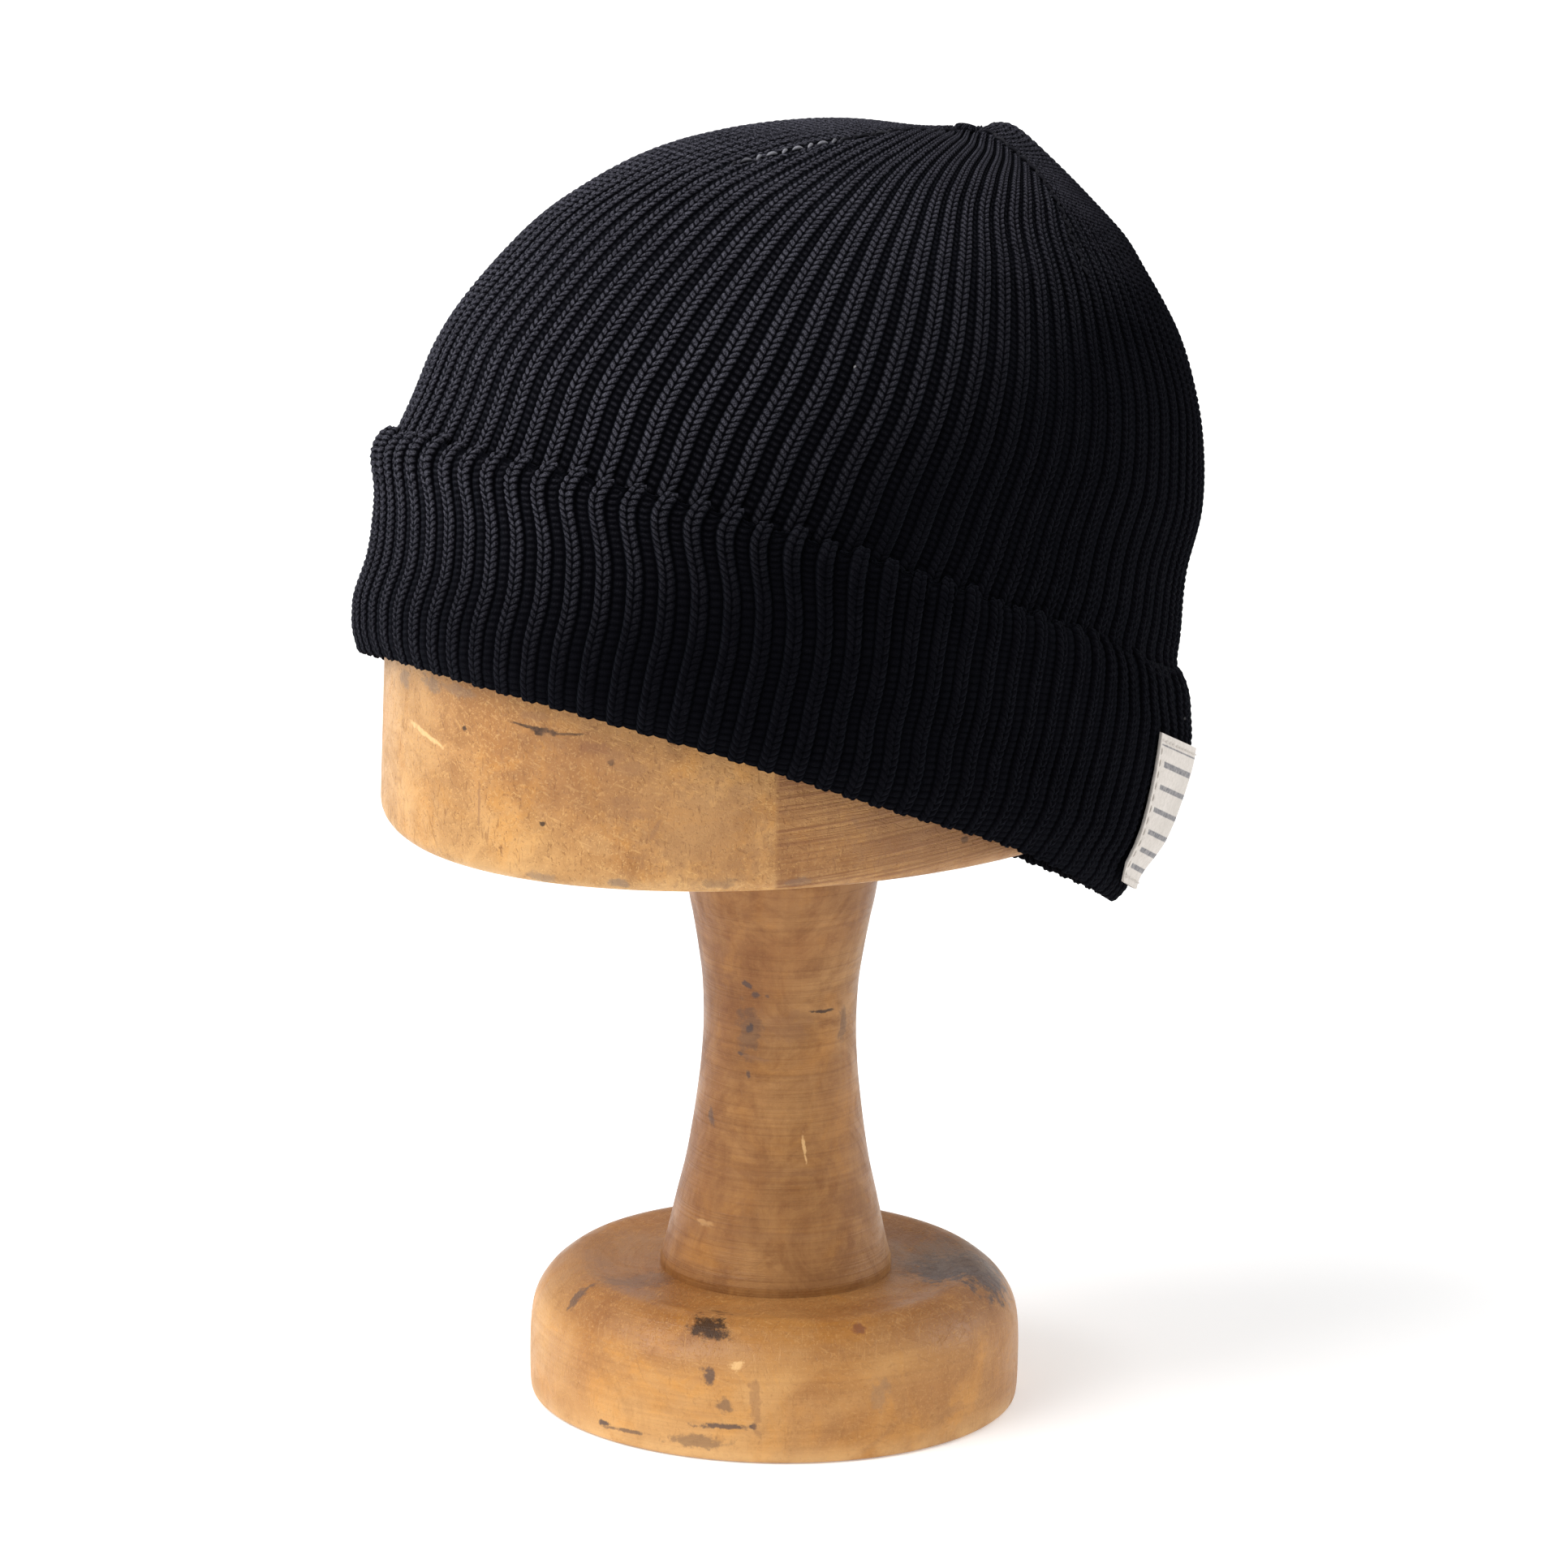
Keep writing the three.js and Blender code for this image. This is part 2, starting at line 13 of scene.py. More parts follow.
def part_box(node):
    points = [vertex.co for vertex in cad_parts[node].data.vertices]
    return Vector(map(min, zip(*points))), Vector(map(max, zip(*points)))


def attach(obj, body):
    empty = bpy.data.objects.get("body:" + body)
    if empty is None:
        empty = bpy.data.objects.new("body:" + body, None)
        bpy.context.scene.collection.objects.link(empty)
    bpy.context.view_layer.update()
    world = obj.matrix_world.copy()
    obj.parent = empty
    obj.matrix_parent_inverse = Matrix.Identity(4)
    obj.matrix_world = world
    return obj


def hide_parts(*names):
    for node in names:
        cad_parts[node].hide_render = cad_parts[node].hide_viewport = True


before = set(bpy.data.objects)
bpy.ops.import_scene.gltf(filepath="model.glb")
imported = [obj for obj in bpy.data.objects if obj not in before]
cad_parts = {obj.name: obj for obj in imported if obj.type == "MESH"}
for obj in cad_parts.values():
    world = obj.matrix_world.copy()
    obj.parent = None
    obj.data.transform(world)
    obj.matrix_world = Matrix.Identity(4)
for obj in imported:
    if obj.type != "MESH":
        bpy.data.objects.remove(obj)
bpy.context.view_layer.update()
MM = 0.001


# Camera
# A long lens at the photograph's angle: an eighth of a turn round from the front, a little above, and
# rolled by one degree. It looks at the middle of the block's underside.
VIEW_BEARING = math.radians(45)
VIEW_ELEVATION = math.radians(16)
VIEW_ROLL = math.radians(1)
VIEW_DISTANCE = 3.5
LENS_MM = 352.2
SENSOR_MM = 36


def towards(bearing, elevation):
    """The direction that many radians round from the front and up from the level."""
    return Vector((
        math.sin(bearing) * math.cos(elevation),
        -math.cos(bearing) * math.cos(elevation),
        math.sin(elevation),
    ))


aim = Vector((0, 0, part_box("hat_block")[0].z))
backwards = towards(VIEW_BEARING, VIEW_ELEVATION)
camera = bpy.data.objects.new("camera", bpy.data.cameras.new("camera"))
camera.data.lens = LENS_MM
camera.data.sensor_width = SENSOR_MM
camera.location = aim + backwards * VIEW_DISTANCE
camera.rotation_mode = "QUATERNION"
camera.rotation_quaternion = (-backwards).to_track_quat("-Z", "Y") @ Quaternion((0, 0, 1), VIEW_ROLL)
bpy.context.scene.collection.objects.link(camera)
bpy.context.scene.camera = camera


# Base
# A round foot turned from one thick board, 112 mm across, with a soft shoulder and a faintly dished top.
# It is worn, with a dark nick in the shoulder, a stain at the back and ink smudges on its front.
def smooth(rows, steps):
    """A Catmull-Rom curve through the rows of an array, with that many steps from each row to the next.

    Each point is half of 2b + (c - a)t + (2a - 5b + 4c - d)t^2 + (3b - a - 3c + d)t^3, where a, b, c, d
    are the rows around it, and the rows past the ends are mirrored.
    """
    rows = np.asarray(rows, float)
    padded = np.vstack([2 * rows[0] - rows[1], rows, 2 * rows[-1] - rows[-2]])
    at = np.linspace(0, len(rows) - 1, steps * (len(rows) - 1) + 1)
    index = np.minimum(at.astype(int), len(rows) - 2)
    t = (at - index)[:, None]
    a, b, c, d = (padded[index + shift] for shift in range(4))
    return (2 * b + (c - a) * t + (2 * a - 5 * b + 4 * c - d) * t**2 + (3 * b - a - 3 * c + d) * t**3) / 2


def piece(name, points, faces, material, replaced=(), uv=None, sharp=()):
    """A smooth mesh object from an array of points and a list of face arrays, riding on the stand's body.

    Faces are turned outwards by the sign of the volume that they close. The edges between points listed
    in sharp keep a crisp normal.
    """
    first, second, third = (np.concatenate([points[group[:, k]] for group in faces]) for k in range(3))
    volume = np.einsum("ij,ij->i", first, np.cross(second, third)).sum()
    volume += sum(np.einsum("ij,ij->i", points[g[:, 0]], np.cross(points[g[:, 2]], points[g[:, 3]])).sum()
                  for g in faces if g.shape[1] == 4)
    if volume < 0:
        faces = [group[:, ::-1] for group in faces]
    corners = np.concatenate([group.ravel() for group in faces]).astype(np.int32)
    sizes = np.concatenate([np.full(len(group), group.shape[1]) for group in faces])
    starts = np.concatenate([[0], np.cumsum(sizes)[:-1]]).astype(np.int32)
    mesh = bpy.data.meshes.new(name)
    mesh.vertices.add(len(points))
    mesh.vertices.foreach_set("co", points.astype(np.float32).ravel())
    mesh.loops.add(len(corners))
    mesh.loops.foreach_set("vertex_index", corners)
    mesh.polygons.add(len(sizes))
    mesh.polygons.foreach_set("loop_start", starts)
    mesh.update(calc_edges=True)
    mesh.shade_smooth()
    if uv is not None:
        layer = mesh.uv_layers.new(name="knit")
        layer.data.foreach_set("uv", uv[corners].astype(np.float32).ravel())
    if len(sharp):
        on_rim = np.zeros(len(points), bool)
        on_rim[sharp] = True
        ends = np.empty(2 * len(mesh.edges), np.int32)
        mesh.edges.foreach_get("vertices", ends)
        crisp = mesh.attributes.new("sharp_edge", "BOOLEAN", "EDGE")
        crisp.data.foreach_set("value", on_rim[ends.reshape(-1, 2)].all(axis=1))
    mesh.validate()
    mesh.materials.append(material)
    made = bpy.data.objects.new(name, mesh)
    bpy.context.scene.collection.objects.link(made)
    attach(made, "root")
    if replaced:
        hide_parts(*replaced)
    return made


def ring_faces(rows, columns):
    """The quads of a closed stack of rings, and a fan to one more point past each end."""
    grid = np.arange(rows * columns).reshape(rows, columns)
    turned = np.roll(grid, -1, axis=1)
    quads = np.stack([grid[:-1], turned[:-1], turned[1:], grid[1:]], axis=-1).reshape(-1, 4)
    low, high = rows * columns, rows * columns + 1
    foot = np.stack([turned[0], grid[0], np.full(columns, low)], axis=-1)
    head = np.stack([grid[-1], turned[-1], np.full(columns, high)], axis=-1)
    return [quads, foot, head]


def turned(radius, height, sides):
    """Rings of x = r sin(t), y = -r cos(t), z = h for each radius r and height h, and the two poles."""
    turn = np.arange(sides) / sides * math.tau
    radius, height = radius[:, None], height[:, None] + 0 * turn
    rings = np.stack([radius * np.sin(turn), -radius * np.cos(turn), height], axis=-1)
    poles = [[0, 0, height[0, 0]], [0, 0, height[-1, 0]]]
    return np.vstack([rings.reshape(-1, 3), poles])


class Shade:
    """A socket in a material's nodes. Arithmetic on it adds Math nodes, and add() makes any other node."""

    def __init__(self, tree, socket=None):
        self.tree = tree
        self.socket = socket

    def add(self, kind, inputs, output=0, **settings):
        node = self.tree.nodes.new("ShaderNode" + kind)
        for setting, value in settings.items():
            setattr(node, setting, value)
        for key, value in inputs.items():
            if isinstance(value, Shade):
                self.tree.links.new(value.socket, node.inputs[key])
            else:
                node.inputs[key].default_value = value
        return Shade(self.tree, node.outputs[output])

    def math(self, operation, *values):
        return self.add("Math", dict(enumerate(values)), operation=operation)

    def __add__(self, other):
        return self.math("ADD", self, other)

    def __sub__(self, other):
        return self.math("SUBTRACT", self, other)

    def __rsub__(self, other):
        return self.math("SUBTRACT", other, self)

    def __mul__(self, other):
        return self.math("MULTIPLY", self, other)

    def __truediv__(self, other):
        return self.math("DIVIDE", self, other)

    def __pow__(self, other):
        return self.math("POWER", self, other)

    __radd__ = __add__
    __rmul__ = __mul__

    def split(self):
        """The x, y and z of a vector."""
        return tuple(self.add("SeparateXYZ", {0: self}, axis) for axis in range(3))

    def stretched(self, x, y, z, turn=(0, 0, 0)):
        """A vector turned and then scaled along each axis, so that a pattern on it is stretched."""
        return self.add("Mapping", {
            "Vector": self, "Rotation": turn, "Scale": (1 / x, 1 / y, 1 / z),
        }, vector_type="TEXTURE")

    def noise(self, scale, detail=3.0, roughness=0.5, distortion=0.0):
        """Soft noise from 0 to 1 on this vector."""
        return self.add("TexNoise", {
            "Vector": self, "Scale": scale, "Detail": detail,
            "Roughness": roughness, "Distortion": distortion,
        })

    def step(self, low, high, floor=0.0, ceiling=1.0):
        """Rises smoothly from floor to ceiling as this goes from low to high."""
        return self.add("MapRange", {
            "Value": self, "From Min": low, "From Max": high, "To Min": floor, "To Max": ceiling,
        }, interpolation_type="SMOOTHSTEP")

    def tinted(self, colour, amount):
        """This colour mixed towards another by an amount."""
        return self.add("Mix", {0: amount, 6: self, 7: colour}, 2, data_type="RGBA")


def finish(name, roughness, specular, **constants):
    """A new material's Principled shader and the Shade that its patterns start from."""
    material = bpy.data.materials.new(name)
    material.use_nodes = True
    shader = material.node_tree.nodes["Principled BSDF"]
    shader.inputs["Roughness"].default_value = roughness
    shader.inputs["Specular IOR Level"].default_value = specular
    for socket, value in constants.items():
        shader.inputs[socket.replace("_", " ")].default_value = value
    return material, shader, Shade(material.node_tree)


def feed(start, shader, **values):
    """Links values to the shader's own sockets, named with _ for each space."""
    for socket, value in values.items():
        start.tree.links.new(value.socket, shader.inputs[socket.replace("_", " ")])


MARK = [("x", float), ("y", float), ("z", float), ("wide", float), ("high", float), ("tilt", float),
        ("depth", float), ("tone", "U8")]
TONES = {
    "burnt": (0.035, 0.016, 0.008, 1),
    "ink": (0.075, 0.05, 0.045, 1),
    "grey": (0.2, 0.14, 0.1, 1),
    "red": (0.2, 0.075, 0.035, 1),
    "brown": (0.27, 0.13, 0.055, 1),
    "pale": (0.74, 0.46, 0.2, 1),
}


def marked(colour, place, marks):
    """The colour with stains laid over it.

    Each is an ellipse on the face at x, y, z, so wide and high in mm and tilted by degrees. Noise tears
    its edge, and its tone is as strong as its depth.
    """
    torn = place.add("VectorMath", {0: place.add("TexNoise", {
        "Vector": place, "Scale": 420.0, "Detail": 4.0, "Roughness": 0.65,
    }, 1), 1: (0.5, 0.5, 0.5)}, operation="SUBTRACT")
    for mark in np.array(marks, MARK):
        middle = np.array([mark["x"], mark["y"], mark["z"]]) * MM
        outward = np.array([mark["x"], mark["y"], 0]) / math.hypot(mark["x"], mark["y"])
        level = np.array([-outward[1], outward[0], 0])
        lean = math.radians(mark["tilt"])
        along = level * math.cos(lean) + np.array([0, 0, 1]) * math.sin(lean)
        upward = np.cross(outward, along)
        reach = (mark["wide"] / 2 * MM, mark["high"] / 2 * MM, (mark["wide"] / 2 + 6) * MM)
        away = place.add("VectorMath", {0: place, 1: tuple(middle)}, operation="SUBTRACT")
        spread = [place.add("VectorMath", {0: away, 1: tuple(axis / size)}, 1, operation="DOT_PRODUCT")
                  for axis, size in zip((along, upward, outward), reach)]
        flat = place.add("CombineXYZ", {0: spread[0], 1: spread[1], 2: spread[2]})
        rough = place.add("VectorMath", {0: torn, 1: (2.6, 2.6, 0), 2: flat}, operation="MULTIPLY_ADD")
        far = place.add("VectorMath", {0: rough}, 1, operation="LENGTH")
        colour = colour.tinted(TONES[str(mark["tone"])], far.step(1.15, 0.55, 0.0, float(mark["depth"])))
    return colour


WOOD_DARK = (0.14, 0.043, 0.009, 1)
WOOD_MIDDLE = (0.37, 0.162, 0.044, 1)
WOOD_LIGHT = (0.58, 0.318, 0.114, 1)
WOOD_GOLD = (0.6, 0.27, 0.05, 1)
WOOD_RED = (0.19, 0.068, 0.022, 1)
CUT_TURNS = [(0.5, 0.9, 0.2), (-0.7, 0.35, 1.1), (1.35, -0.4, 0.5), (0.2, 1.4, -0.8), (1.0, 0.9, -1.5)]
DENT_TURNS = [(0.15, 0.1, 0.0), (0.9, -0.8, 0.3), (-0.5, 0.3, 1.9), (-1.2, 0.2, 0.4)]
SAW_TURN = (0.06, -0.05, 0)


def wood(name, marks, lathe, scratch, darker, shoulder, worn, board=None):
    """Close-grained hardwood under old wax. Lathe is how strong the turned rings are, scratch the scars.

    Rings are noise on the distance from the axis and the height, both finely scaled, so they run level on
    a side and round on a top. Scars are noise drawn out along turned directions and cut to its peaks.
    Above the shoulder's two heights the wood is darker, and between the worn edge's two it is rubbed pale.
    Past the board's bearing another board starts, redder and still rough from a fine saw.
    """
    material, shader, start = finish(name, 0.42, 0.3)
    place = start.add("TexCoord", {}, 3)
    x, y, z = place.split()
    across = (x * x + y * y) ** 0.5
    cloud = place.noise(13.0, 4.0, 0.55, 0.8).step(0.34, 0.66)
    mottle = place.noise(60.0, 6.0, 0.66, 1.6).step(0.38, 0.64)
    speckle = place.noise(520.0, 4.0, 0.7).step(0.38, 0.68)
    rings = start.add("CombineXYZ", {0: across * 900.0, 1: z * 900.0, 2: x * 14.0})
    ring = rings.noise(1.0, 3.0, 0.7).step(0.42, 0.68)
    broad = place.stretched(9.0, 9.0, 70.0).noise(1.0, 4.0, 0.6, 0.4).step(0.42, 0.64)
    fibre = place.stretched(300.0, 300.0, 14.0).noise(1.0, 4.0, 0.6, 0.2).step(0.4, 0.7)
    colour = place.add("Mix", {0: cloud, 6: WOOD_MIDDLE, 7: WOOD_LIGHT}, 2, data_type="RGBA")
    colour = colour.tinted(WOOD_GOLD, place.noise(42.0, 5.0, 0.65, 1.2).step(0.48, 0.66) * 0.5)
    colour = colour.tinted(WOOD_DARK, mottle * 0.3 + speckle * 0.08 + darker)
    colour = colour.tinted(WOOD_DARK, z.step(*shoulder) * 0.42)
    colour = colour.tinted(WOOD_DARK, (ring * 0.34 + broad * 0.3) * lathe)
    colour = colour.tinted(WOOD_LIGHT, fibre * 0.1)
    cuts = None
    for turn in CUT_TURNS:
        line = place.stretched(1400.0, 1400.0, 110.0, turn).noise(1.0, 2.0, 0.5, 0.25)
        cut = line.step(0.6, 0.7)
        cuts = cut if cuts is None else cuts + cut
        colour = colour.tinted(WOOD_LIGHT, cut * scratch)
    for turn in DENT_TURNS:
        dent = place.stretched(1500.0, 1500.0, 80.0, turn).noise(1.0, 2.0, 0.5, 0.3).step(0.62, 0.74)
        cuts = cuts + dent * 1.2
        colour = colour.tinted(WOOD_DARK, dent * scratch * 0.7)
    rubbed = z.step(worn[1], worn[0]) * place.noise(120.0, 3.0, 0.6).step(0.3, 0.6)
    colour = colour.tinted(TONES["pale"], rubbed * 0.5)
    pores = place.stretched(900.0, 900.0, 260.0).noise(1.0, 2.0, 0.5).step(0.72, 0.78)
    colour = colour.tinted(TONES["brown"], pores * 0.3)
    height = (ring * lathe + fibre * 0.2) * 0.5 + mottle * 0.3 - cuts * scratch - pores * 0.5
    if board is not None:
        beyond = place.add("VectorMath", {
            0: place, 1: (math.cos(board), math.sin(board), 0),
        }, 1, operation="DOT_PRODUCT").step(-0.0006, 0.0008)
        saw = place.stretched(26.0, 26.0, 1500.0, SAW_TURN).noise(1.0, 3.0, 0.6, 0.1).step(0.4, 0.66)
        colour = colour.tinted(WOOD_RED, beyond * (saw * 0.5 + 0.3))
        height = height + beyond * saw * 0.7
    colour = marked(colour, place, marks)
    bump = start.add("Bump", {"Strength": 0.45, "Distance": 0.0003, "Height": height})
    rough = cloud * 0.08 + mottle * 0.12 + cuts * 0.06 + 0.32
    feed(start, shader, Base_Color=colour, Roughness=rough, Normal=bump)
    return material


BASE_PROFILE = [
    # share of the height, share of the radius
    (0.0, 0.966), (0.012, 0.984), (0.05, 0.995), (0.2, 1.0), (0.45, 1.0), (0.62, 0.993), (0.74, 0.974),
    (0.85, 0.935), (0.925, 0.89), (0.975, 0.848), (1.0, 0.8), (0.993, 0.755), (0.972, 0.68),
    (0.966, 0.58), (0.972, 0.5), (0.972, 0.2),
]
BASE_SIDES = 144
BASE_MARKS = [
    # x, y, z, wide, high, tilt, depth, tone
    (22, -42.5, 29.4, 11, 4, -4, 0.95, "burnt"),
    (45, -18.2, 29.3, 3.2, 2.6, 0, 0.85, "red"),
    (-11, -32, 31, 12, 9, 0, 0.4, "ink"),
    (-16, -47.8, 28.3, 3.5, 7, 20, 0.7, "ink"),
    (34, 30, 30.6, 26, 13, 8, 0.9, "ink"),
    (26, 38, 30, 30, 12, 0, 0.6, "grey"),
    (27.5, -48.3, 20, 3.6, 5, 12, 0.8, "ink"),
    (31, -46.7, 13.5, 4, 5, 30, 0.55, "ink"),
    (31, -46.6, 8.8, 14, 1.6, 3, 0.85, "ink"),
    (36.5, -42.6, 9.2, 2, 1.8, 0, 0.95, "ink"),
    (26, -49.7, 4.6, 16, 3.4, 3, 0.5, "ink"),
    (8, -55.4, 4.0, 15, 1.1, 4, 0.7, "ink"),
    (1.5, -56, 4.4, 4.5, 1.4, 4, 0.9, "ink"),
    (36.4, -42.2, 14, 2.6, 15, 4, 0.5, "brown"),
    (53, -18.5, 15, 4.5, 9, 0, 0.32, "grey"),
    (-30, -25, 30, 40, 6, 0, 0.35, "brown"),
    (33, -45, 22.8, 3.6, 2.6, 0, 0.75, "pale"),
    (56, 2, 8, 9, 3, 10, 0.3, "brown"),
]

base_low, base_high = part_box("base")
profile = smooth(BASE_PROFILE, 5)
piece(
    "turned_base",
    turned(profile[:, 1] * base_high.x, profile[:, 0] * (base_high.z - base_low.z), BASE_SIDES),
    ring_faces(len(profile), BASE_SIDES),
    wood("base_wood", BASE_MARKS, lathe=0.35, scratch=0.22, darker=-0.2,
         shoulder=(0.02, 0.029), worn=(0, 0.006)),
    ["base"],
)


# Stem
# A turned column between base and block, waisted a little above its middle. Its surface has fine level
# tool rings, a small knot with dark specks at the waist and a few dents.
STEM_WAIST_RADIUS = 17.5 * MM
STEM_FOOT_RADIUS = 26.5 * MM
STEM_NECK_RADIUS = 24 * MM
STEM_WAIST_HEIGHT = 0.506
STEM_PROFILE = [
    # share of the height, how far the radius has flared from the waist to the foot or the neck
    (-0.012, 1.0), (0.0, 1.005), (0.012, 0.99), (0.05, 0.86), (0.143, 0.6), (0.213, 0.4), (0.282, 0.256),
    (0.351, 0.14), (0.42, 0.05), (STEM_WAIST_HEIGHT, 0.0), (0.593, 0.06), (0.662, 0.22), (0.731, 0.43),
    (0.78, 0.6), (0.87, 0.815), (1.0, 1.0),
]
STEM_SIDES = 112
STEM_MARKS = [
    # x, y, z, wide, high, tilt, depth, tone
    (6.3, -17.3, 102, 3.0, 1.5, -25, 0.8, "ink"),
    (8.2, -16, 99.8, 2.2, 1.9, 0, 0.75, "ink"),
    (10.5, -14.5, 99.7, 1.2, 1.0, 0, 0.6, "ink"),
    (6.7, -16.3, 91.6, 1.7, 2.6, 0, 0.9, "ink"),
    (6.6, -16.5, 91, 6.5, 13, 0, 0.42, "ink"),
    (17.1, -4.1, 95.6, 6.5, 0.9, -4, 0.9, "burnt"),
    (13.5, -11.5, 92.5, 13, 8, 0, 0.45, "brown"),
    (8.1, -15.8, 84.6, 9, 0.9, -6, 0.7, "brown"),
    (4.5, -17.2, 85.2, 1.8, 1.2, 0, 0.75, "ink"),
    (6.7, -16.6, 80.7, 1.4, 2, 20, 0.7, "ink"),
    (-2.8, -19, 68.9, 1.9, 4.5, 25, 0.6, "ink"),
    (17.6, -9, 63.9, 0.9, 7, 5, 0.8, "pale"),
    (17.3, 3.2, 91, 3.2, 11, 0, 0.4, "ink"),
    (13, -16, 58, 30, 2.4, 3, 0.22, "brown"),
    (16, -16, 44, 24, 2.2, -3, 0.25, "brown"),
    (0, -24, 45, 6, 1.6, 0, 0.3, "pale"),
]

stem_low, stem_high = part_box("stem")
profile = smooth(STEM_PROFILE, 8)
end_radius = np.where(profile[:, 0] < STEM_WAIST_HEIGHT, STEM_FOOT_RADIUS, STEM_NECK_RADIUS)
piece(
    "turned_stem",
    turned(
        STEM_WAIST_RADIUS + profile[:, 1] * (end_radius - STEM_WAIST_RADIUS),
        stem_low.z + profile[:, 0] * (stem_high.z - stem_low.z),
        STEM_SIDES,
    ),
    ring_faces(len(profile), STEM_SIDES),
    wood("stem_wood", STEM_MARKS, lathe=0.8, scratch=0.06, darker=0.3,
         shoulder=(0.2, 0.3), worn=(0, 0.01)),
    ["stem"],
)


# Cap frame
# The cap leans back on the block. Its own frame has z up the cap's axis and its origin at the fold, and
# oval sections stand along that axis: a cuff table and a crown table give them in shares of the cap.
CAP_TILT = math.radians(22.5)
CAP_HALF_LENGTH = 104 * MM
CAP_HALF_WIDTH = 85 * MM
CAP_DEPTH = 150.7 * MM
CAP_SETBACK = -9.4 * MM
FOLD_ABOVE_UNDERSIDE = 7 * MM
OVAL_FULLNESS = 1.95
CUFF_HEIGHT = 51.5 * MM
EDGE_DIP = 3.6 * MM
FOLD_SAG = 4.8 * MM
KNIT_WALL = 1.8 * MM
LAYER_GAP = 0.5 * MM
SECTION = [("height", float), ("setback", float), ("length", float), ("width", float)]
CUFF_SECTIONS = np.array([
    (0, -0.04, 1, 1.002), (0.04, -0.039, 1.005, 1.007), (0.194, -0.028, 1.026, 1.029),
    (0.388, -0.02, 1.03, 1.033), (0.583, -0.034, 1.039, 1.042), (0.777, -0.064, 1.039, 1.042),
    (0.893, -0.083, 1.026, 1.03), (0.97, -0.092, 1.012, 1.015), (1, -0.094, 1.008, 1.011),
], SECTION)
CROWN_SECTIONS = np.array([
    (0.375, -0.094, 0.98, 0.978), (0.465, -0.104, 0.955, 0.958), (0.564, -0.079, 0.916, 0.942),
    (0.664, -0.059, 0.847, 0.893), (0.743, -0.046, 0.765, 0.824), (0.816, -0.025, 0.667, 0.729),
    (0.883, 0.007, 0.54, 0.601), (0.936, 0.045, 0.412, 0.468), (0.982, 0.08, 0.225, 0.26),
    (1, 0.075, 0.001, 0.001),
], SECTION)


def sized(rows, height_unit, inset=0.0):
    """A table's rows in metres, as columns of height, setback, length and width, drawn in by an inset."""
    return np.stack([
        rows["height"] * height_unit, rows["setback"] * CAP_HALF_LENGTH,
        rows["length"] * CAP_HALF_LENGTH - inset, rows["width"] * CAP_HALF_WIDTH - inset,
    ], axis=-1)


cuff_run = smooth(sized(CUFF_SECTIONS, CUFF_HEIGHT), 16)
crown_run = smooth(np.vstack([
    sized(CUFF_SECTIONS[:-1], CUFF_HEIGHT, KNIT_WALL + LAYER_GAP), sized(CROWN_SECTIONS, CAP_DEPTH),
]), 16)
crown_length = np.concatenate([[0], np.cumsum(np.hypot(*np.diff(crown_run[:, [0, 3]], axis=0).T))])
crown_end = crown_length[-1]
fold_centre = np.array([0, CAP_SETBACK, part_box("hat_block")[0].z + FOLD_ABOVE_UNDERSIDE])
tilt = np.array([
    [1, 0, 0],
    [0, math.cos(CAP_TILT), math.sin(CAP_TILT)],
    [0, -math.sin(CAP_TILT), math.cos(CAP_TILT)],
])


def in_cap(points):
    """Points of the cap's own frame, turned and moved to where the cap stands."""
    return points @ tilt.T + fold_centre


def even_angle(share):
    """An oval's angle for a share of the turn: the turn plus some of its double sine, for even ribs."""
    flattening = (CAP_HALF_LENGTH - CAP_HALF_WIDTH) / (CAP_HALF_LENGTH + CAP_HALF_WIDTH)
    return share * math.tau + flattening / 2 * np.sin(2 * share * math.tau)


def oval(setback, length, width, angle):
    """x = width s(sin), y = setback - length s(cos), with s(v) = sign(v) |v|^(2 / fullness)."""
    sine, cosine = np.sin(angle), np.cos(angle)
    x = width * np.sign(sine) * np.abs(sine) ** (2 / OVAL_FULLNESS)
    y = setback - length * np.sign(cosine) * np.abs(cosine) ** (2 / OVAL_FULLNESS)
    return x, y


def section_at(run, along, at):
    """Setback, length and width where a run of sections passes a value of along, and its height."""
    return [np.interp(at, along, run[:, column]) for column in (1, 2, 3, 0)]


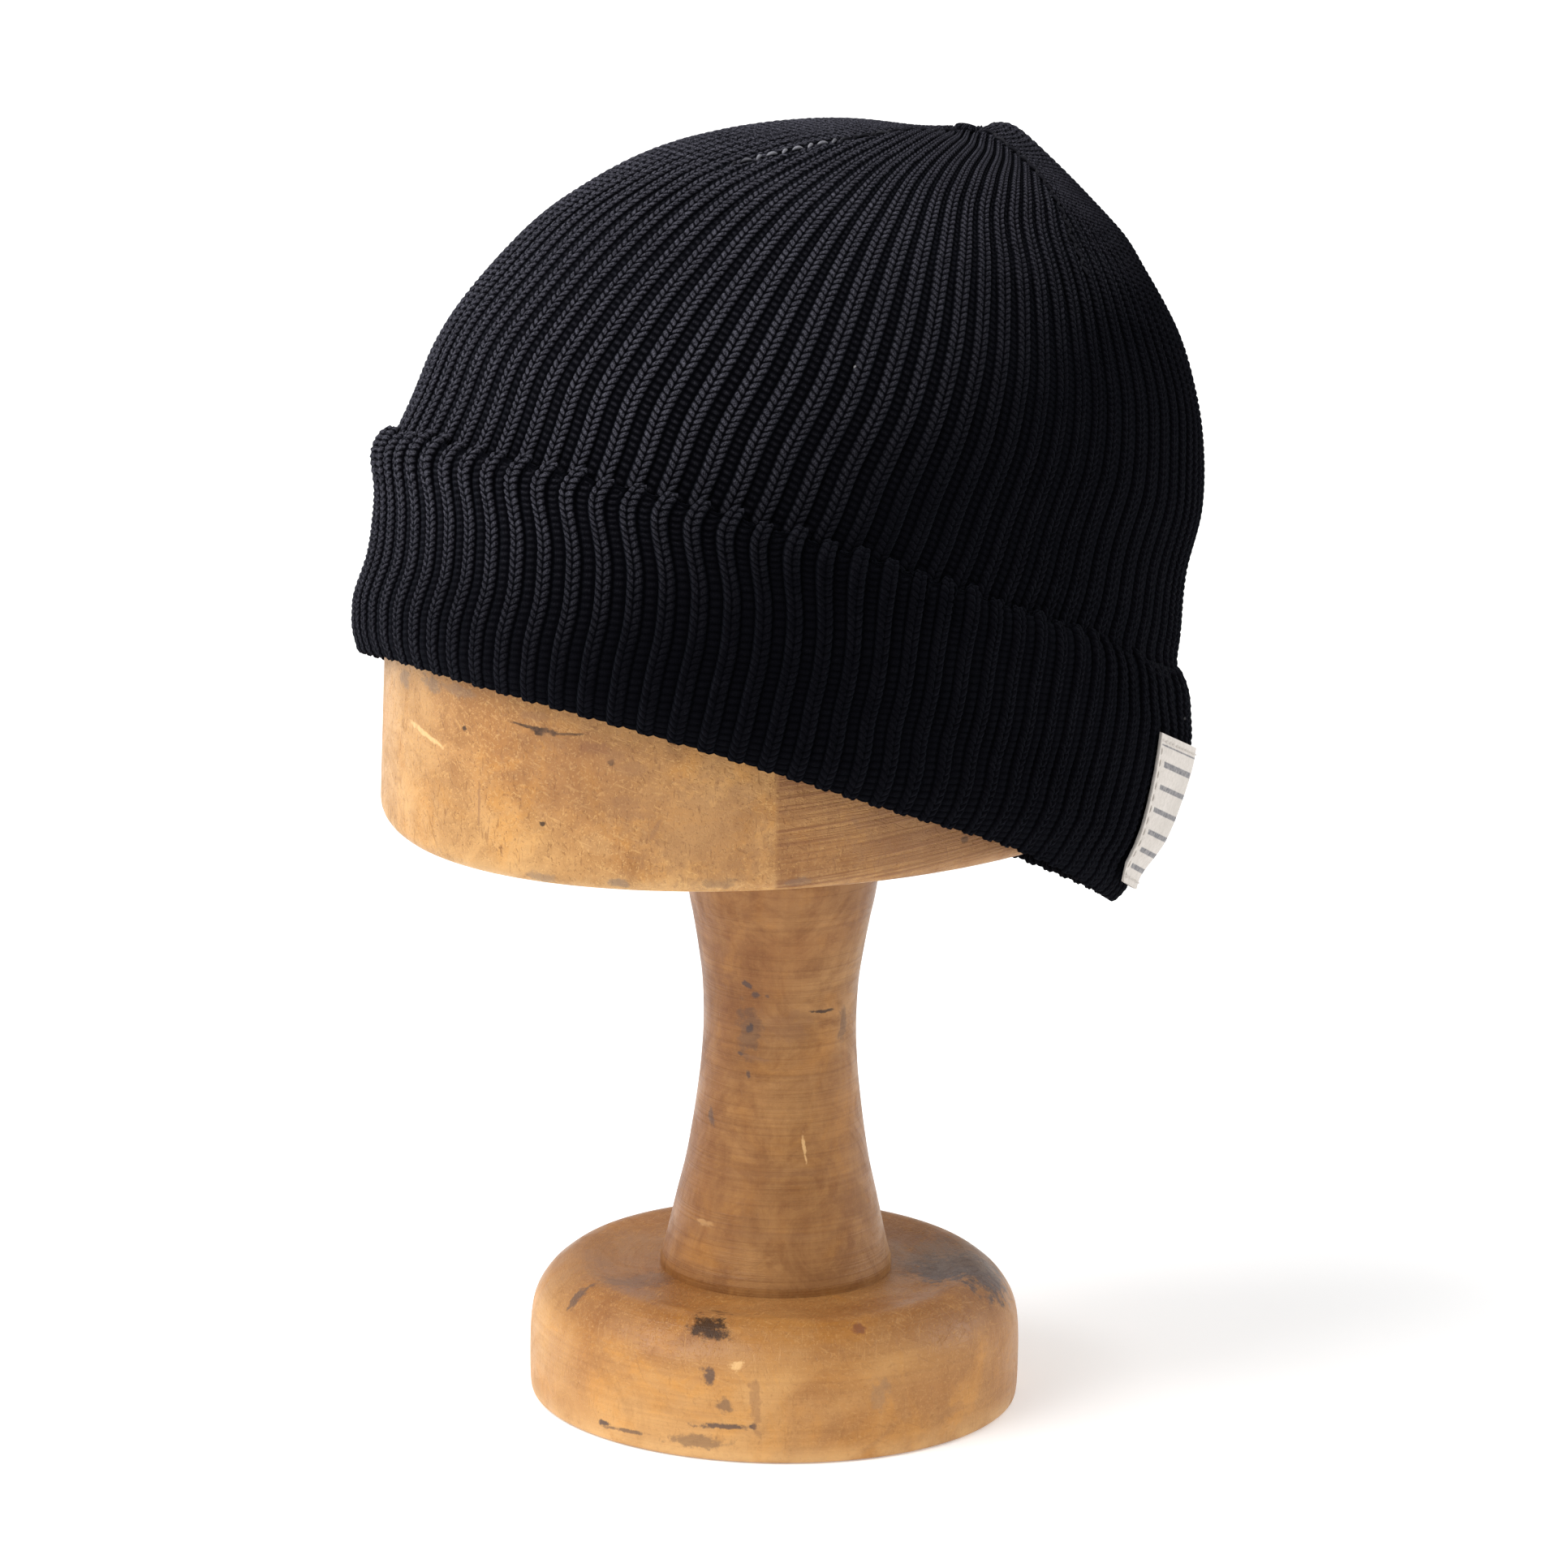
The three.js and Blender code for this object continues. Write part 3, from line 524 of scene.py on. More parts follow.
# Hat block
# An oval wooden block of a 56 cm head size, with a rounded foot and straight sides, and a dome that the
# cap hides. It is scarred by years of use: cuts, pin holes, a knot with a crack and saw lines at the side.
BLOCK_HALF_LENGTH = 99.25 * MM
BLOCK_HALF_WIDTH = 79.1 * MM
BLOCK_SETBACK = -4.05 * MM
BLOCK_TAPER = 0.016
BLOCK_FOOT_ROUND = 3.5 * MM
BLOCK_FRONT_NARROWING = 0.02
BLOCK_CLEARANCE = 1.5 * MM
BOARD_BEARING = math.radians(44)
BLOCK_SIDES = 200
BLOCK_FOOT_ROWS = 7
BLOCK_SIDE_ROWS = 24
BLOCK_DOME_ROWS = 44
BLOCK_MARKS = [
    # x, y, z, wide, high, tilt, depth, tone
    (21.6, -98.2, 180.6, 5, 2.2, -3, 1.0, "burnt"),
    (24.6, -97.1, 180.4, 2.6, 1.6, 0, 1.0, "burnt"),
    (19, -99, 181.2, 10, 0.8, -6, 0.85, "burnt"),
    (28, -95.5, 180.7, 8, 0.7, 5, 0.75, "burnt"),
    (24, -97.4, 178, 9, 5, 0, 0.35, "brown"),
    (6.6, -102.7, 161, 0.9, 13, 1, 0.6, "brown"),
    (1.7, -102.8, 177.8, 1.5, 1.5, 0, 0.9, "burnt"),
    (36.3, -90.5, 175, 1.6, 1.5, 0, 0.9, "burnt"),
    (22.4, -98.5, 159.3, 1.5, 1.4, 0, 0.9, "burnt"),
    (32.9, -92.7, 177.8, 7, 3.4, 0, 0.5, "red"),
    (36.8, -90.2, 176.6, 5, 3.6, 8, 0.4, "brown"),
    (39.6, -88.1, 173.8, 8, 4, 4, 0.4, "brown"),
    (38.8, -88.9, 165.8, 7, 3.4, 2, 0.42, "brown"),
    (40.4, -87.7, 163.3, 10, 2.8, 0, 0.35, "brown"),
    (20, -99, 183.9, 10, 2.2, 0, 0.45, "brown"),
    (-22.8, -97.9, 183.4, 7, 4.5, 10, 0.5, "grey"),
    (-10.4, -101.7, 185.3, 8, 4, -8, 0.55, "grey"),
    (0, -102.9, 186, 12, 3, 0, 0.4, "grey"),
    (22.6, -98, 146.9, 7, 3.2, 0, 0.5, "grey"),
    (37.8, -89.5, 147, 5, 2.6, 0, 0.6, "grey"),
    (54, -74.3, 147.6, 9, 3, 0, 0.35, "ink"),
    (64, -59, 147.4, 7, 2.4, 6, 0.35, "grey"),
    (-12, -101, 173.2, 15, 1.4, -10, 0.85, "pale"),
    (-20, -98.9, 158, 14, 16, 0, 0.2, "pale"),
    (34, -92, 156, 12, 5, -20, 0.16, "pale"),
    (52, -77, 160, 34, 26, 0, 0.42, "brown"),
    (77.6, -20.2, 152.7, 2.6, 1.6, 0, 0.9, "burnt"),
    (70, -47, 160, 1.6, 5, 30, 0.5, "brown"),
    (44, -84, 160, 1.2, 7, -28, 0.55, "brown"),
    (77, -20, 158, 60, 50, 0, 0.42, "brown"),
    (30, -94, 172, 40, 26, 0, 0.3, "brown"),
]

block_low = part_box("hat_block")[0].z


def inside_block(points):
    """Whether points are within both the block's sides and the crown's inner face less its clearance.

    The sides are |forward|^n + |sideways|^n < 1 in a narrowing, tapering oval, and the crown's face is
    the same power law in the cap's frame, drawn in square to its slope.
    """
    rise = np.maximum(points[..., 2] - block_low - BLOCK_FOOT_ROUND, 0)
    forward = -(points[..., 1] - BLOCK_SETBACK) / (BLOCK_HALF_LENGTH - BLOCK_TAPER * rise)
    narrowed = BLOCK_HALF_WIDTH * (1 - BLOCK_FRONT_NARROWING * forward) - BLOCK_TAPER * rise
    sides = np.abs(forward) ** OVAL_FULLNESS + np.abs(points[..., 0] / narrowed) ** OVAL_FULLNESS < 1
    local = (points - fold_centre) @ tilt
    inset = KNIT_WALL + BLOCK_CLEARANCE
    setback, length, width, _ = section_at(crown_run, crown_run[:, 0], local[..., 2])
    _, next_length, next_width, _ = section_at(crown_run, crown_run[:, 0], local[..., 2] + MM)
    length = length - inset * np.hypot(1, (length - next_length) / MM)
    width = width - inset * np.hypot(1, (width - next_width) / MM)
    along = np.abs((local[..., 1] - setback) / np.maximum(length, MM)) ** OVAL_FULLNESS
    across = np.abs(local[..., 0] / np.maximum(width, MM)) ** OVAL_FULLNESS
    crown = (along + across < 1) & (length > 0) & (width > 0) & (local[..., 2] < CAP_DEPTH - inset)
    return sides & (crown | (local[..., 2] < 0))


def cast(origin, direction, inset=0.0):
    """The last point along each direction that is still inside the block, found by halving."""
    near = np.zeros(direction.shape[:-1])
    far = near + 4 * BLOCK_HALF_LENGTH
    for _ in range(26):
        middle = (near + far) / 2
        within = inside_block(origin + direction * middle[..., None])
        near, far = np.where(within, middle, near), np.where(within, far, middle)
    return origin + direction * (near - inset)[..., None]


turn = np.arange(BLOCK_SIDES) / BLOCK_SIDES * math.tau
level = np.stack([BLOCK_HALF_WIDTH * np.sin(turn), -BLOCK_HALF_LENGTH * np.cos(turn), 0 * turn], axis=-1)
level /= np.linalg.norm(level, axis=1)[:, None]
dome_foot = np.array([0, BLOCK_SETBACK, fold_centre[2] + CUFF_HEIGHT / 2])
block_rings = []
for bend in np.linspace(0, math.pi / 2, BLOCK_FOOT_ROWS):
    height = block_low + BLOCK_FOOT_ROUND * (1 - math.sin(bend))
    inset = BLOCK_FOOT_ROUND * (1 - math.cos(bend))
    block_rings.insert(0, cast(np.array([0, BLOCK_SETBACK, height]), level, inset))
for height in np.linspace(block_low + BLOCK_FOOT_ROUND, dome_foot[2], BLOCK_SIDE_ROWS)[1:-1]:
    block_rings.append(cast(np.array([0, BLOCK_SETBACK, height]), level))
for elevation in np.arange(BLOCK_DOME_ROWS) / BLOCK_DOME_ROWS * math.pi / 2:
    rising = level * math.cos(elevation) + np.array([0, 0, math.sin(elevation)])
    block_rings.append(cast(dome_foot, rising))
block_poles = [[0, BLOCK_SETBACK, block_low], cast(dome_foot, np.array([[0.0, 0, 1]]))[0]]
piece(
    "wooden_block",
    np.vstack(block_rings + [block_poles]),
    ring_faces(len(block_rings), BLOCK_SIDES),
    wood("block_wood", BLOCK_MARKS, lathe=0.1, scratch=0.55, darker=0.03,
         shoulder=(0.3, 0.4), worn=(0.145, 0.152), board=BOARD_BEARING),
    ["hat_block"],
)


# Crown
# The upper cap: a tube of heavy two-ply rib knit, 84 ribs round, shaped into four gores by dart seams
# that swallow ribs from both sides over the last 70 mm and meet at the apex. Each gore is one sheet.
GORES = 4
RIBS_PER_GORE = 21
DART_LENGTH = 70 * MM
DART_BITE = 2.5
RIB_DEPTH = 1.5 * MM
COURSE = 1.6 * MM
ROWS_PER_COURSE = 3
BACK_STEP = 8
OVAL_GIRTH = 1.1
SWELL = 0.3 * MM
APEX_GATHER = 1.2 * MM
CROWN_START_RISE = 0.87
RIB_BOW = [
    # mm of run above the crown's hidden start, mm that the ribs bow back on the wearer's left
    (0, 0), (20, 4.2), (33, 5), (60, 1.2), (85, -4), (115, -13), (154, -15),
]
SEAM_DRIFT = 0.03
SEAM_LEAD = 4 * MM
SEAM_SINK = 1.1 * MM
SEAM_HALF_WIDTH = 1.5 * MM
DRIFT_RUN = 34 * MM
CLOSING_RUN = 12 * MM
APEX_LIFT = 2 * MM
PUCKER = 5.6 * MM
PUCKER_FROM_APEX = 9 * MM
PUCKER_BEARING = math.radians(150)
WALE_WIDTH = 3.9 * MM
LEG_SHAPE = 2.8
CREASE = 0.72
STITCH_SLANT = 0.9
# Across a rib, in shares of its pitch
WALE_REACH = 0.28
LEG_MIDDLE = 0.14
LEG_REACH = 0.155
BAR_REACH = 0.23
RIB_SAMPLES = np.array([0, 0.13, 0.215, 0.29, 0.37, 0.5, 0.63, 0.71, 0.785, 0.87])
# Yarn colours: the darkest is painted shade for the grooves, the middle one the raised yarn's own dye, the
# light one the crests' pale hairs with a painted highlight, the blue-grey one a painted sheen on the top
# and on the side towards the key light, and the last pale lint.
YARN_PAINTED_GROOVE_SHADE = (0.0006, 0.0006, 0.0011, 1)
YARN_MIDDLE = (0.0021, 0.002, 0.0031, 1)
YARN_HAIRS_AND_PAINTED_HIGHLIGHT = (0.0135, 0.013, 0.0175, 1)
YARN_PAINTED_SHEEN = (0.108, 0.106, 0.132, 1)
YARN_LINT = (0.32, 0.31, 0.32, 1)
# The way and the range of the painted sheen: up and towards the key light.
PAINTED_SHEEN_WAY = (-0.35, -0.35, 0.87)
PAINTED_SHEEN_FROM = (0.2, 0.268)


def soft_step(value, low, high):
    """Rises from 0 at low to 1 at high as 3t^2 - 2t^3."""
    t = np.clip((value - low) / (high - low), 0, 1)
    return t * t * (3 - 2 * t)


def ripple(u, v, seed, terms=9):
    """A smooth random field from -1 to 1: a mean of sines of whole turns in u and free waves in v."""
    draw = np.random.default_rng(seed)
    waves = [np.sin(math.tau * (draw.integers(1, 7) * u + draw.uniform(-5, 5) * v + draw.random()))
             for _ in range(terms)]
    return sum(waves) / terms**0.5 / 1.4


def even_rib(rib, pitch):
    """Rib coordinates with each wale, whatever share of the pitch it takes, moved within WALE_REACH."""
    whole = np.floor(rib)
    a = rib - whole - 0.5
    wale = np.clip(WALE_WIDTH / 2 / pitch, 0.26, 0.37)
    inner = np.abs(a) * WALE_REACH / wale
    outer = WALE_REACH + (np.abs(a) - wale) * (0.5 - WALE_REACH) / (0.5 - wale)
    return whole + 0.5 + np.sign(a) * np.where(np.abs(a) < wale, inner, outer)


def knit_relief(rib, course, upward):
    """How high the knit stands, from 0 in a groove to 1 on a rib's crest.

    With a the distance from the rib's middle, the rib has two legs that peak at LEG_MIDDLE with a crease
    between them, and each leg is cut into slanting stitches, a V of them a course, that point the way of
    upward. From WALE_REACH on a sunk row of short bars fills the way to the next rib.
    """
    a = np.abs(rib - np.floor(rib) - 0.5)
    leg = np.clip(1 - np.abs((a - LEG_MIDDLE) / LEG_REACH) ** LEG_SHAPE, 0, 1)
    body = np.where(a < LEG_MIDDLE, CREASE + (1 - CREASE) * leg, leg)
    lean = course - upward * STITCH_SLANT * a / WALE_REACH
    bead = 1 - np.abs(2 * (lean - np.floor(lean)) - 1) ** 2
    bar = course + 0.5 + STITCH_SLANT * (rib - np.round(rib))
    bars = 1 - np.abs(2 * (bar - np.floor(bar)) - 1) ** 2
    sunk = 0.52 * np.clip(1 - np.abs((0.5 - a) / BAR_REACH) ** 3, 0, 1)
    return np.maximum(body * (0.6 + 0.4 * bead), sunk * (0.5 + 0.5 * bars))


def knit_columns(ribs):
    """Where a rib's samples fall over that many ribs, closed at the far end."""
    return np.append((np.arange(ribs)[:, None] + RIB_SAMPLES).ravel(), ribs)


def crown_point(share, run, lift):
    """The crown's cloth at a share of the turn and a run length, lifted along its normal.

    On the wearer's left the ribs bow back over the cuff and forwards again to the apex. The normal is
    the cross product of the steps round and up the bare oval surface. With f the run from the apex in
    puckers, the gathered cloth lifts by exp(-f^2), and on the left it also puffs up by (f exp(1 - f))^2.
    """
    bowed = smooth(RIB_BOW, 6) * MM
    on_left = soft_step(np.sin(share * math.tau), 0.2, 0.95)
    bow = np.interp(run - start_run, bowed[:, 0], bowed[:, 1]) * on_left
    angle = even_angle(share + bow / (CAP_HALF_LENGTH + CAP_HALF_WIDTH) / math.pi)

    def bare(turn, length):
        setback, half_length, half_width, height = section_at(crown_run, crown_length, length)
        x, y = oval(setback, half_length, half_width, turn)
        return np.stack([x, y, height + 0 * x], axis=-1)

    lower = np.maximum(run - MM / 2, 0)
    upper = np.minimum(run + MM / 2, crown_end - MM / 2)
    around = bare(angle + 0.01, lower) - bare(angle - 0.01, lower)
    rising = bare(angle, np.maximum(upper, lower + MM / 4)) - bare(angle, lower)
    normal = np.cross(around, rising)
    normal /= np.linalg.norm(normal, axis=-1)[..., None]
    away = (crown_end - run) / PUCKER_FROM_APEX
    puff = PUCKER * (away * np.exp(1 - away)) ** 2 * np.maximum(0, np.cos(angle - PUCKER_BEARING))
    puff = puff + APEX_LIFT * np.exp(-away**2)
    return bare(angle, run) + normal * (puff + lift)[..., None]


def drifted(share, run):
    """A share of the turn, moved by up to SEAM_DRIFT with the front seam, which leans as it rises."""
    near = soft_step(run, dart_run - SEAM_LEAD, dart_run + DRIFT_RUN)
    return share + SEAM_DRIFT * near * soft_step(np.cos(share * math.tau), 0.1, 0.9)


def rim(fine, coarse):
    """Triangles of the strip from a fine edge to a coarse one that runs beside it."""
    step = (len(fine) - 1) // (len(coarse) - 1)
    owner = np.repeat(np.arange(len(coarse) - 1), step)
    near = np.stack([fine[1:], fine[:-1], coarse[owner]], axis=-1)
    far = np.stack([fine[step::step], coarse[:-1], coarse[1:]], axis=-1)
    return [near, far]


def sheet_faces(front, back):
    """Faces of a closed sheet from the point numbers of its fine front grid and its coarse back grid."""
    def quads(grid):
        corners = [grid[:-1, :-1], grid[:-1, 1:], grid[1:, 1:], grid[1:, :-1]]
        return np.stack(corners, axis=-1).reshape(-1, 4)

    faces = [quads(front), quads(back)[:, ::-1]]
    for side in (lambda g: g[0], lambda g: g[:, -1], lambda g: g[-1, ::-1], lambda g: g[::-1, 0]):
        faces += rim(side(front), side(back))
    return faces


def sheet(name, front, back, uv, material, replaced=()):
    """A closed sheet piece from a fine front grid and a coarse back grid of points."""
    count = front.shape[0] * front.shape[1]
    fine = np.arange(count).reshape(front.shape[:2])
    coarse = count + np.arange(back.shape[0] * back.shape[1]).reshape(back.shape[:2])
    points = np.vstack([front.reshape(-1, 3), back.reshape(-1, 3)])
    row_step = (front.shape[0] - 1) // (back.shape[0] - 1)
    column_step = (front.shape[1] - 1) // (back.shape[1] - 1)
    both = np.vstack([uv.reshape(-1, 2), uv[::row_step, ::column_step].reshape(-1, 2)])
    edge = np.concatenate([fine[0], fine[-1], fine[:, 0], fine[:, -1]])
    return piece(name, points, sheet_faces(fine, coarse), material, replaced, both, edge)


def knit_wool(name, upward):
    """Matt heather yarn knitted in rib. The knit map counts ribs along u and courses along v.

    The relief of knit_relief is repeated in nodes as bump and as colour: the grooves get painted shade and
    the hairy crests a lighter colour that is partly a painted highlight, with a fine twist and fuzz of yarn
    and a few specks of lint over it. On the top and on the side towards the key light the crests carry a
    painted sheen, and the rest keeps its dark dye.
    """
    material, shader, start = finish(
        name, 0.9, 0.012, Sheen_Weight=0.03, Sheen_Roughness=0.45, Sheen_Tint=(0.5, 0.56, 0.75, 1))
    place = start.add("TexCoord", {}, 3)
    rib, course, _ = start.add("UVMap", {}, uv_map="knit").split()
    a = start.math("ABSOLUTE", start.math("FRACT", rib) - 0.5)
    leg = 1 - start.math("ABSOLUTE", (a - LEG_MIDDLE) / LEG_REACH) ** LEG_SHAPE
    lean = start.math("FRACT", course - a * (upward * STITCH_SLANT / WALE_REACH) + 8.0)
    bead = 1 - start.math("ABSOLUTE", lean * 2 - 1) ** 2
    slant = (rib - start.math("ROUND", rib)) * STITCH_SLANT
    bars = 1 - start.math("ABSOLUTE", start.math("FRACT", course + slant + 8.5) * 2 - 1) ** 2
    sunk = 1 - start.math("ABSOLUTE", (0.5 - a) / BAR_REACH) ** 3
    rib_high = start.math("MAXIMUM", leg, 0.0) * (bead * 0.7 + 0.3)
    sunk_high = start.math("MAXIMUM", sunk, 0.0) * (bars * 0.7 + 0.3) * 0.55
    high = start.math("MAXIMUM", rib_high, sunk_high)
    ply = start.add("CombineXYZ", {0: a * 34.0, 1: lean * 5.0, 2: start.math("FLOOR", course + 8.0) * 3.7})
    twist = ply.noise(1.0, 2.0, 0.6)
    fuzz = place.noise(2300.0, 4.0, 0.75)
    worn = place.noise(310.0, 3.0, 0.6).step(0.4, 0.7)
    # Painted sheen: a mask that is strongest on the top and on the side that faces the key light.
    lit_side = place.add("VectorMath", {0: place, 1: PAINTED_SHEEN_WAY}, 1, operation="DOT_PRODUCT")
    painted_sheen = (lit_side + place.noise(26.0, 3.0, 0.55) * 0.03).step(*PAINTED_SHEEN_FROM)
    # Painted shade: the yarn is coloured darker in the grooves and between the bars than on the raised
    # knit.
    colour = start.add("Mix", {0: high.step(0.05, 0.7), 6: YARN_PAINTED_GROOVE_SHADE, 7: YARN_MIDDLE}, 2, data_type="RGBA")
    hairs = twist.step(0.4, 0.65) * 0.5 + fuzz.step(0.42, 0.66) * 0.5
    # Partly the heather yarn's pale hairs and partly a painted highlight: the crests are lightened in
    # patches.
    crest = high.step(0.25, 0.9) * hairs
    colour = colour.tinted(YARN_HAIRS_AND_PAINTED_HIGHLIGHT, crest * (worn * 0.4 + 0.15))
    # Painted sheen: crests on the top and on the key-lit side are lightened towards a pale blue-grey.
    colour = colour.tinted(YARN_PAINTED_SHEEN, high.step(0.38, 0.94) * painted_sheen * (hairs * 1.1 + 0.05))
    cells = place.add("TexVoronoi", {"Vector": place, "Scale": 190.0, "Randomness": 1.0})
    chance = place.add("TexVoronoi", {"Vector": place, "Scale": 190.0, "Randomness": 1.0}, 1).split()[0]
    lint = cells.step(0.09, 0.04) * chance.step(0.985, 0.99)
    colour = colour.tinted(YARN_LINT, lint * 0.6)
    height = high + twist * 0.4 + fuzz * 0.35
    bump = start.add("Bump", {"Strength": 1.0, "Distance": 0.0006, "Height": height})
    feed(start, shader, Base_Color=colour, Normal=bump)
    return material


crown_knit = knit_wool("crown_knit", 1)
dart_run = crown_end - DART_LENGTH
full_width = np.interp(dart_run, crown_length, crown_run[:, 3])
start_run = np.interp(CROWN_START_RISE * CUFF_HEIGHT, crown_run[:, 0], crown_length)
visible_run = crown_end - APEX_GATHER - start_run
row_count = BACK_STEP * round(visible_run / (COURSE / ROWS_PER_COURSE) / BACK_STEP) + 1
runs = np.linspace(start_run, crown_end - APEX_GATHER, row_count)[:, None]
across = (knit_columns(RIBS_PER_GORE) / RIBS_PER_GORE)[None, :]
half_width = np.interp(runs, crown_length, crown_run[:, 3])
narrowed = np.where(runs > dart_run, np.minimum(1, half_width / full_width), 1)
limit = RIBS_PER_GORE / 2 * (1 - (1 - narrowed) ** DART_BITE)
gore_width = 2 * math.pi * half_width * OVAL_GIRTH / GORES
from_seam = (0.5 - np.abs(across - 0.5)) * gore_width

for gore, side in enumerate(("front_left", "back_left", "back_right", "front_right")):
    share = drifted((gore + across) / GORES, runs)
    sway = 0.05 * np.sin(math.pi * across) * ripple(share, runs * 4, 40 + gore)
    pitch = gore_width / 2 / limit
    rib = even_rib((share * GORES - gore - 0.5) * 2 * limit + RIBS_PER_GORE / 2 + sway, pitch)
    course = (runs - start_run) / COURSE + 0.3 * ripple(share, runs * 8, 50)
    relief = knit_relief(rib, course, 1)
    closing = soft_step(runs, dart_run - SEAM_LEAD, dart_run + CLOSING_RUN)
    seam = 1 - closing * (1 - soft_step(from_seam, 0, SEAM_HALF_WIDTH))
    swell = SWELL * ripple(share, runs * 7, 61)
    lift = -RIB_DEPTH * (1 - relief) * seam - SEAM_SINK * (1 - seam) + swell
    front = in_cap(crown_point(share + 0 * runs, runs + 0 * share, lift))
    coarse_share = share[::BACK_STEP, ::len(RIB_SAMPLES)]
    coarse_runs = runs[::BACK_STEP] + 0 * coarse_share
    back = in_cap(crown_point(coarse_share, coarse_runs, -KNIT_WALL + 0 * coarse_share))
    uv = np.stack([rib + gore * RIBS_PER_GORE, course + 0 * rib], axis=-1)
    made = sheet(f"crown_gore_{side}", front, back, uv, crown_knit, ["crown"])


# Cuff
# The tube's lower end turned up once outside the crown, in two half sheets that join under the ribs. It
# has a round fold at its foot, leaning ribs, and a loose top edge whose rib ends curl out like knuckles.
RIB_COUNT = RIBS_PER_GORE * GORES
RIB_LEAN = np.array([
    # share of the cuff's height, mm that the ribs have leant forwards there: in front, aside, behind
    (0, 0, 0, 0), (0.3, 2.2, 5.3, 7.5), (0.65, 3.5, 5.6, 11.5), (0.86, 6.2, 4.4, 12.2),
    (0.93, 6.1, 3.8, 11.8), (1.05, 3.5, 2.4, 10.8),
])
LEAN_ROUNDING = (-0.05, -0.025, 0, 0.025, 0.05)
CUFF_FLARE = 1.03
EDGE_ZONE = (15 * MM, 5 * MM)
EDGE_DEEPENING = 0.45
FOLD_ZONE = 7 * MM
FOLD_FLATTENING = 0.4
KNUCKLE_OUT = 0.4 * MM
KNUCKLE_OUT_SPREAD = 0.5 * MM
KNUCKLE_UP = 0.8 * MM
KNUCKLE_UP_SPREAD = 0.9 * MM
EDGE_DROP = 1.1 * MM
SIDE_DROP = 0.3 * MM
SIDE_SQUEEZE = 1.1 * MM
BACK_SQUEEZE = 1.3 * MM
SAG_BEARING = math.radians(140)
SAG_REACH = math.radians(60)
EDGE_CREST_BEARING = math.radians(50)
CUFF_PATH = [
    # rise from the fold to the edge, then mm above that level and mm out from the cuff's face
    (1, -5, -1.9), (1, -1.6, -1.9), (1, 0.0, -1.6), (1, 0.5, -0.8), (1, 0.0, 0.1), (1, -1.5, 0.8),
    (1, -3.6, 1.2), (1, -6.2, 1.2), (1, -9, 0.8), (1, -13, 0.2), (0.6, 0, 0), (0.4, 0, 0.1),
    (0.2, 0, 0.2), (0, 6.5, 0.0), (0, 3.6, -0.3), (0, 1.0, -1.1), (0, -1.2, -2.3), (0, -2.3, -3.4),
    (0, -1.8, -4.5), (0, 0.2, -5.0),
]
CUFF_BACK_PATH = [(1, -5.4, -1.9), (0.5, 0, -1.8), (0, 3.6, -2.1), (0, 1.7, -3.0), (0, 1.8, -4.2)]


def path_run(rows, spacing):
    """A path table smoothed and resampled to even steps along its length, as rise, lift and out columns."""
    path = smooth(rows, 12) * [1, MM, MM]
    upright = path[:, 0] * CUFF_HEIGHT + path[:, 1]
    run = np.concatenate([[0], np.cumsum(np.hypot(np.diff(upright), np.diff(path[:, 2])))])
    steps = BACK_STEP * round(run[-1] / spacing / BACK_STEP)
    at = np.linspace(0, run[-1], steps + 1)
    return np.stack([np.interp(at, run, column) for column in path.T], axis=-1), at


def leant(level, column):
    """How far forwards the ribs have leant at a level: a column of the table, averaged over its kinks."""
    near = [np.interp(level + step, RIB_LEAN[:, 0], RIB_LEAN[:, column]) for step in LEAN_ROUNDING]
    return sum(near) / len(near) * MM


def cuff_point(share, rise, lift, out):
    """The cuff's face at a share of the turn and of the rise, lifted and moved out by metres.

    Its levels lie between the sagging fold and the dipping top edge. The ribs lean forwards as they rise,
    and on the front they hook under the edge and curl back at it.
    """
    bearing = share * math.tau
    aside = np.minimum(1, np.abs(bearing - SAG_BEARING) / SAG_REACH)
    fold_level = -FOLD_SAG * np.cos(aside * math.pi / 2) ** 2
    edge_level = CUFF_HEIGHT - EDGE_DIP * np.sin(bearing - EDGE_CREST_BEARING) ** 2
    height = fold_level + (edge_level - fold_level) * rise + lift
    level = rise + lift / CUFF_HEIGHT
    front, side, back = (leant(level, column) for column in (1, 2, 3))
    in_front = soft_step(np.cos(bearing), 0.3, 0.8)
    behind = soft_step(np.cos(bearing), -0.1, -0.6)
    shift = side + (front - side) * in_front + (back - side) * behind
    angle = even_angle(share - shift / (CAP_HALF_LENGTH + CAP_HALF_WIDTH) / math.pi)
    setback, length, width, _ = section_at(cuff_run, cuff_run[:, 0], height)
    x, y = oval(setback, length + out, width + out, angle)
    return np.stack([x, y, height + 0 * x], axis=-1)


cuff_knit = knit_wool("cuff_knit", -1)
path, cuff_at = path_run(CUFF_PATH, COURSE / ROWS_PER_COURSE)
direction = np.gradient(path @ np.array([[CUFF_HEIGHT, 0], [1, 0], [0, 1]]), axis=0)
direction /= np.linalg.norm(direction, axis=1)[:, None]
rise, lift, out = (path[:, column, None] for column in range(3))
face_up, face_out = direction[:, 1, None], -direction[:, 0, None]
path_height = rise * CUFF_HEIGHT + lift
edge_zone = soft_step(path_height, CUFF_HEIGHT - EDGE_ZONE[0], CUFF_HEIGHT - EDGE_ZONE[1])
fold_zone = soft_step(path_height, FOLD_ZONE, 0)
knobs = np.random.default_rng(74).uniform(-1, 1, (2, RIB_COUNT))
back_path, _ = path_run(CUFF_BACK_PATH, 2 * MM)
fold_length = math.pi * (CAP_HALF_LENGTH + CAP_HALF_WIDTH) * CUFF_FLARE

